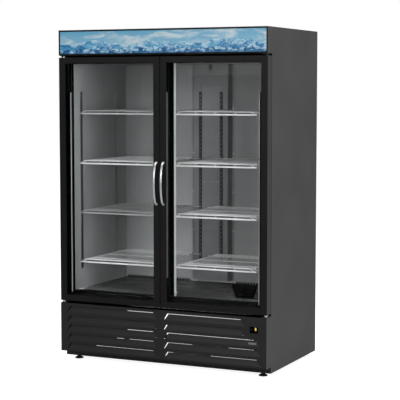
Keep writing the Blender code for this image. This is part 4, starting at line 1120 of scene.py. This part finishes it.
def compressor():
    """Welded steel can with a seam, terminal cover, rubber-footed base and copper lines."""
    low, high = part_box("compressor")
    (x, y), z0 = COMPRESSOR_AXIS, low.z
    top = high.z - low.z
    shape = Shape()
    profile = [(0.0, 0.0), (0.050, 0.004), (0.072, 0.016), (0.080, 0.032), (0.0825, 0.050), (0.0838, 0.094),
               (0.0858, 0.0990), (0.0858, 0.1080), (0.0838, 0.1110), (0.0835, 0.140), (0.0815, 0.166),
               (0.0750, 0.188), (0.0640, 0.2005), (0.0450, 0.2095), (0.0220, 0.2140), (0.0, top)]
    shape.lathe(profile, (x, y, z0), "Z", 48)
    shape.box((low.x + 0.0005, y - 0.025, z0 + 0.070), (low.x + 0.040, y + 0.025, z0 + 0.130), 0.004, 3)
    base_low, base_high = COMPRESSOR_BASE
    shape.box((*base_low, z0), (*base_high, z0 + 0.0038), 0.0012)
    shape.stand_in("compressor", "compressor_black")
    mounts = Shape()
    for mx in (base_low[0] + 0.016, base_high[0] - 0.016):
        for my in (base_low[1] + 0.015, base_high[1] - 0.015):
            mounts.lathe([(0.0, 0.0038), (0.010, 0.0038), (0.010, 0.006), (0.0075, 0.0075), (0.0075, 0.010),
                          (0.0095, 0.0115), (0.0095, 0.013), (0.0, 0.0135)], (mx, my, z0), "Z", 20)
    mounts.piece("compressor_mounts", "rubber", "cabinet")
    lines = Shape()

    def smooth_path(points, steps=8):
        """A smooth curve through given points."""
        points = [Vector(p) for p in points]
        ends = [points[0] * 2 - points[1]] + points + [points[-1] * 2 - points[-2]]
        path = []
        for a, b, c, d in zip(ends, ends[1:], ends[2:], ends[3:]):
            for step in range(steps):
                t = step / steps
                path.append(0.5 * ((2 * b) + (c - a) * t + (2 * a - 5 * b + 4 * c - d) * t * t
                                   + (3 * b - a - 3 * c + d) * t * t * t))
        path.append(points[-1])
        return path

    coil_low, coil_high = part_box("condenser_coil")
    lines.tube(smooth_path([(x - 0.030, y - 0.072, z0 + 0.150), (x - 0.040, y - 0.105, z0 + 0.165),
                            (x - 0.060, y - 0.135, z0 + 0.215), (x - 0.090, y - 0.175, z0 + 0.240),
                            (coil_low.x + 0.002, coil_high.y + 0.040, z0 + 0.235),
                            (coil_low.x - 0.006, coil_high.y - 0.004, z0 + 0.225)]), 0.0034, 10)
    suction = [(x + 0.050, y + 0.060, z0 + 0.130), (x + 0.070, y + 0.085, z0 + 0.150),
               (x + 0.060, y + 0.110, z0 + 0.200), (x + 0.010, y + 0.115, z0 + 0.245),
               (x - 0.060, y + 0.090, z0 + 0.262), (x - 0.110, y + 0.050, z0 + 0.285)]
    lines.tube(smooth_path(suction), 0.0048, 10)
    lines.piece("refrigerant_lines", "copper", "cabinet", slot="zinc")


# ---------------------------------------------------------------- doors
STILE, RAIL = 0.043, 0.037
REBATE, LIP_DEPTH = 0.008, 0.0085
HINGE_X, HINGE_SETBACK = 0.672, 0.022           # hinge axes, out from the middle and back from the door face
PANE = 0.004


def door_profile(width, depth):
    """Section of a frame bar: rolled outer edge, flat face, sloping inner bead and glass rebate."""
    outer = arc((0.003, 0.003), 0.003, 180, 270, 4)
    inner_edge = arc((width - 0.0034, 0.0018), 0.0018, 270, 322, 3)
    bead = [(width - 0.0004, 0.0052), (width, 0.0064), (width, LIP_DEPTH)]
    rest = [(width - REBATE, LIP_DEPTH), (width - REBATE, depth - 0.0006), (width - REBATE - 0.0006, depth),
            (0.0015, depth), (0.0, depth - 0.0015)]
    return outer + inner_edge + bead + rest


def gasket_profile(width, depth):
    """Section of a magnetic door gasket: dart foot, folded bellows and a soft flat head."""
    return [(0.004, 0.0), (width - 0.004, 0.0), (width - 0.004, depth * 0.16), (width - 0.008, depth * 0.22),
            (width - 0.001, depth * 0.34), (width - 0.0005, depth * 0.42), (width - 0.006, depth * 0.54),
            (width - 0.001, depth * 0.68), (width - 0.0008, depth * 0.96), (width - 0.003, depth),
            (0.003, depth), (0.0008, depth * 0.96), (0.001, depth * 0.68), (0.006, depth * 0.54),
            (0.0005, depth * 0.42), (0.001, depth * 0.34), (0.008, depth * 0.22), (0.004, depth * 0.16)]


def door(side):
    body = "door_" + side
    sign = -1 if side == "left" else 1
    low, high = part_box("door_frame_" + side)
    depth = high.y - low.y

    # stiles and rails differ in width, so the section is stretched to a common mitre
    frame_shape = Shape()
    profile = door_profile(STILE, depth)
    frame_shape.frame((low.x, low.y, low.z), (high.x, high.z), profile, gap=0.00012)
    middle_z = (low.z + high.z) / 2
    for vertex in frame_shape.bm.verts:
        edge = low.z if vertex.co.z < middle_z else high.z
        inward = abs(vertex.co.z - edge)
        limit = STILE - REBATE
        if inward <= STILE + 0.001:
            flat = min(inward, limit - 0.004)
            scale = (RAIL - REBATE - 0.004) / (limit - 0.004)
            moved = flat * scale + (inward - flat)
            vertex.co.z = edge + (moved if edge == low.z else -moved)
    frame_shape.stand_in("door_frame_" + side, "door_black_painted_side_light", "frame_black", smooth=25.0)

    g_low, g_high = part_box("door_glass_" + side)
    panes = Shape()
    panes.box(g_low, (g_high.x, g_low.y + PANE, g_high.z), 0.0008)
    panes.box((g_low.x, g_high.y - PANE, g_low.z), g_high, 0.0008)
    panes.stand_in("door_glass_" + side, "glass", smooth=5.0)
    spacer = Shape()
    bar = 0.0098
    spacer_profile = rounded_outline((0.0006, 0.0), (bar, g_high.y - g_low.y - 2 * PANE - 0.0004), 0.0012, 2)
    spacer.frame((g_low.x, g_low.y + PANE + 0.0002, g_low.z), (g_high.x, g_high.z), spacer_profile)
    spacer.piece("glass_spacer_" + side, "trim_black", body, slot="plastic_black")

    r_low, r_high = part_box("door_gasket_" + side)
    gasket = Shape()
    width = 0.0235
    gasket.frame((r_low.x, r_low.y, r_low.z), (r_high.x, r_high.z),
                 gasket_profile(width, r_high.y - r_low.y))
    gasket.stand_in("door_gasket_" + side, "rubber", smooth=50.0)

    l_low, l_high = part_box("door_light_" + side)
    door_light(side, sign, l_low, l_high)
    outer_flange(side, sign, low, high)
    # painted highlight: a grey bead along part of the right door's latch stile
    if side == "right":
        latch_edge_highlight(low, (l_low.z + 0.135, l_high.z))
    bow_handle(side)
    hinge(side, sign)


def latch_edge_highlight(low, span_z):
    """Satin bead over the rim of the glass on the right door's latch stile; its grey is a painted highlight
    along that edge.
    """
    x = low.x + STILE
    bead = Shape()
    bead.prism([(x - 0.0026, FRONT + 0.0026), (x - 0.0016, FRONT + 0.0012), (x + 0.0052, FRONT + 0.0042),
                (x + 0.0060, FRONT + 0.0056), (x + 0.0060, FRONT + 0.0080), (x - 0.0026, FRONT + 0.0080)],
               "Z", *span_z)
    bead.piece("latch_edge_highlight", "edge_painted_highlight", "door_right", slot="frame_black", smooth=50.0)


def outer_flange(side, sign, low, high):
    """Thin flange on the hinge side that carries the door's outer face back towards the body."""
    flange = Shape()
    outer = high.x if sign > 0 else low.x
    a, b = sorted((outer - sign * 0.0003, outer - sign * 0.0016))
    flange.box((a, high.y - 0.0010, low.z + 0.0012), (b, BODY_FRONT - 0.0052, high.z - 0.0012), 0.0003)
    flange.piece("outer_flange_" + side, "door_black_painted_side_light", "door_" + side, slot="frame_black")


def door_light(side, sign, low, high):
    """Slim light bar behind the glass: a black channel with a narrow opal lens on its inner corner."""
    inner, outer = (low.x, high.x) if sign > 0 else (high.x, low.x)
    channel = Shape()
    a, b = sorted((inner, outer))
    channel.prism(rounded_outline((a, low.y), (b, high.y), 0.0012, 3), "Z", low.z, high.z)
    channel.stand_in("door_light_" + side, "trim_black", "plastic_black")
    lens = Shape()
    a, b = sorted((inner - sign * 0.0038, inner + sign * 0.0004))
    lens.prism(rounded_outline((a, low.y + 0.0004), (b, low.y + 0.0042), 0.0014, 4), "Z",
               low.z + 0.004, high.z - 0.004)
    lens.piece("door_light_lens_" + side, "lens", "door_" + side, slot="diffuser", smooth=50.0)


def bow_handle(side):
    """Flattened bow of brushed aluminium that grows out of two round feet."""
    node = "door_handle_" + side
    low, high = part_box(node)
    x = (low.x + high.x) / 2
    reach = FRONT - low.y
    shape = Shape()
    radius = 0.0064
    z0, z1 = low.z + radius, high.z - radius
    points = []
    steps = 28
    for index in range(steps + 1):
        t = index / steps
        z = z0 + (z1 - z0) * t
        rise = math.sin(math.pi * t) ** 0.55 if 0 < t < 1 else 0.0
        out = 0.006 + (reach - radius * 0.62 - 0.006) * rise
        points.append((x, FRONT - out, z))
    shape.tube(points, radius, 20, flat=0.62, up=(0, -1, 0))
    for z in (z0, z1):
        shape.lathe([(0.0, 0.0), (0.0078, 0.0), (0.0080, -0.0016), (0.0066, -0.0040), (0.0058, -0.0095),
                     (0.0040, -0.0108), (0.0, -0.0112)], (x, FRONT - 0.0002, z), "Y", 24)
    shape.stand_in(node, "aluminium", smooth=55.0)


def hinge(side, sign):
    """Black bracket plates above and below the door, each with a bush and a pin on the hinge axis."""
    for end in ("bottom", "top"):
        node = f"hinge_{end}_{side}"
        low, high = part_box(node)
        axis_x, axis_y = sign * HINGE_X, FRONT + HINGE_SETBACK
        plate = (low.z, low.z + 0.004) if end == "bottom" else (high.z - 0.004, high.z)
        bracket = Shape()
        bracket.prism(rounded_outline((low.x, low.y), (high.x, high.y), 0.005, 4), "Z", *plate)
        bracket.stand_in(node, "plastic_black", "zinc")
        bush = Shape()
        if end == "bottom":
            bush_look, root = "zinc", plate[1] - 0.0002
            profile = [(0.0, root), (0.0105, root), (0.0105, 0.3750), (0.0092, 0.3764), (0.005, 0.3766),
                       (0.005, high.z - 0.001), (0.004, high.z), (0.0, high.z)]
        else:
            bush_look, root = "standard_dark", plate[0] + 0.0002
            profile = [(0.0, root), (0.0085, root), (0.0085, plate[0] - 0.0035), (0.005, plate[0] - 0.0045),
                       (0.005, low.z + 0.001), (0.004, low.z), (0.0, low.z)]
        bush.lathe(profile, (axis_x, axis_y, 0.0), "Z", 28)
        bush.piece(f"bush_{end}_{side}", bush_look, "cabinet", slot="zinc")


# ---------------------------------------------------------------- assembly
studio()
cabinet_skins()
liner_shell()
breaker_strip()
face_and_header()
mullion_lamp()
rear_duct()
air_return()
for wall_node in sorted(nodes):
    if wall_node.startswith("standard_"):
        standard(wall_node)
for shelf_side in DOORS:
    for shelf_number in range(1, 5):
        wire_shelf(shelf_side, shelf_number)
fan_cowl()
kick_zone()
machine_compartment()
for door_side in DOORS:
    door(door_side)
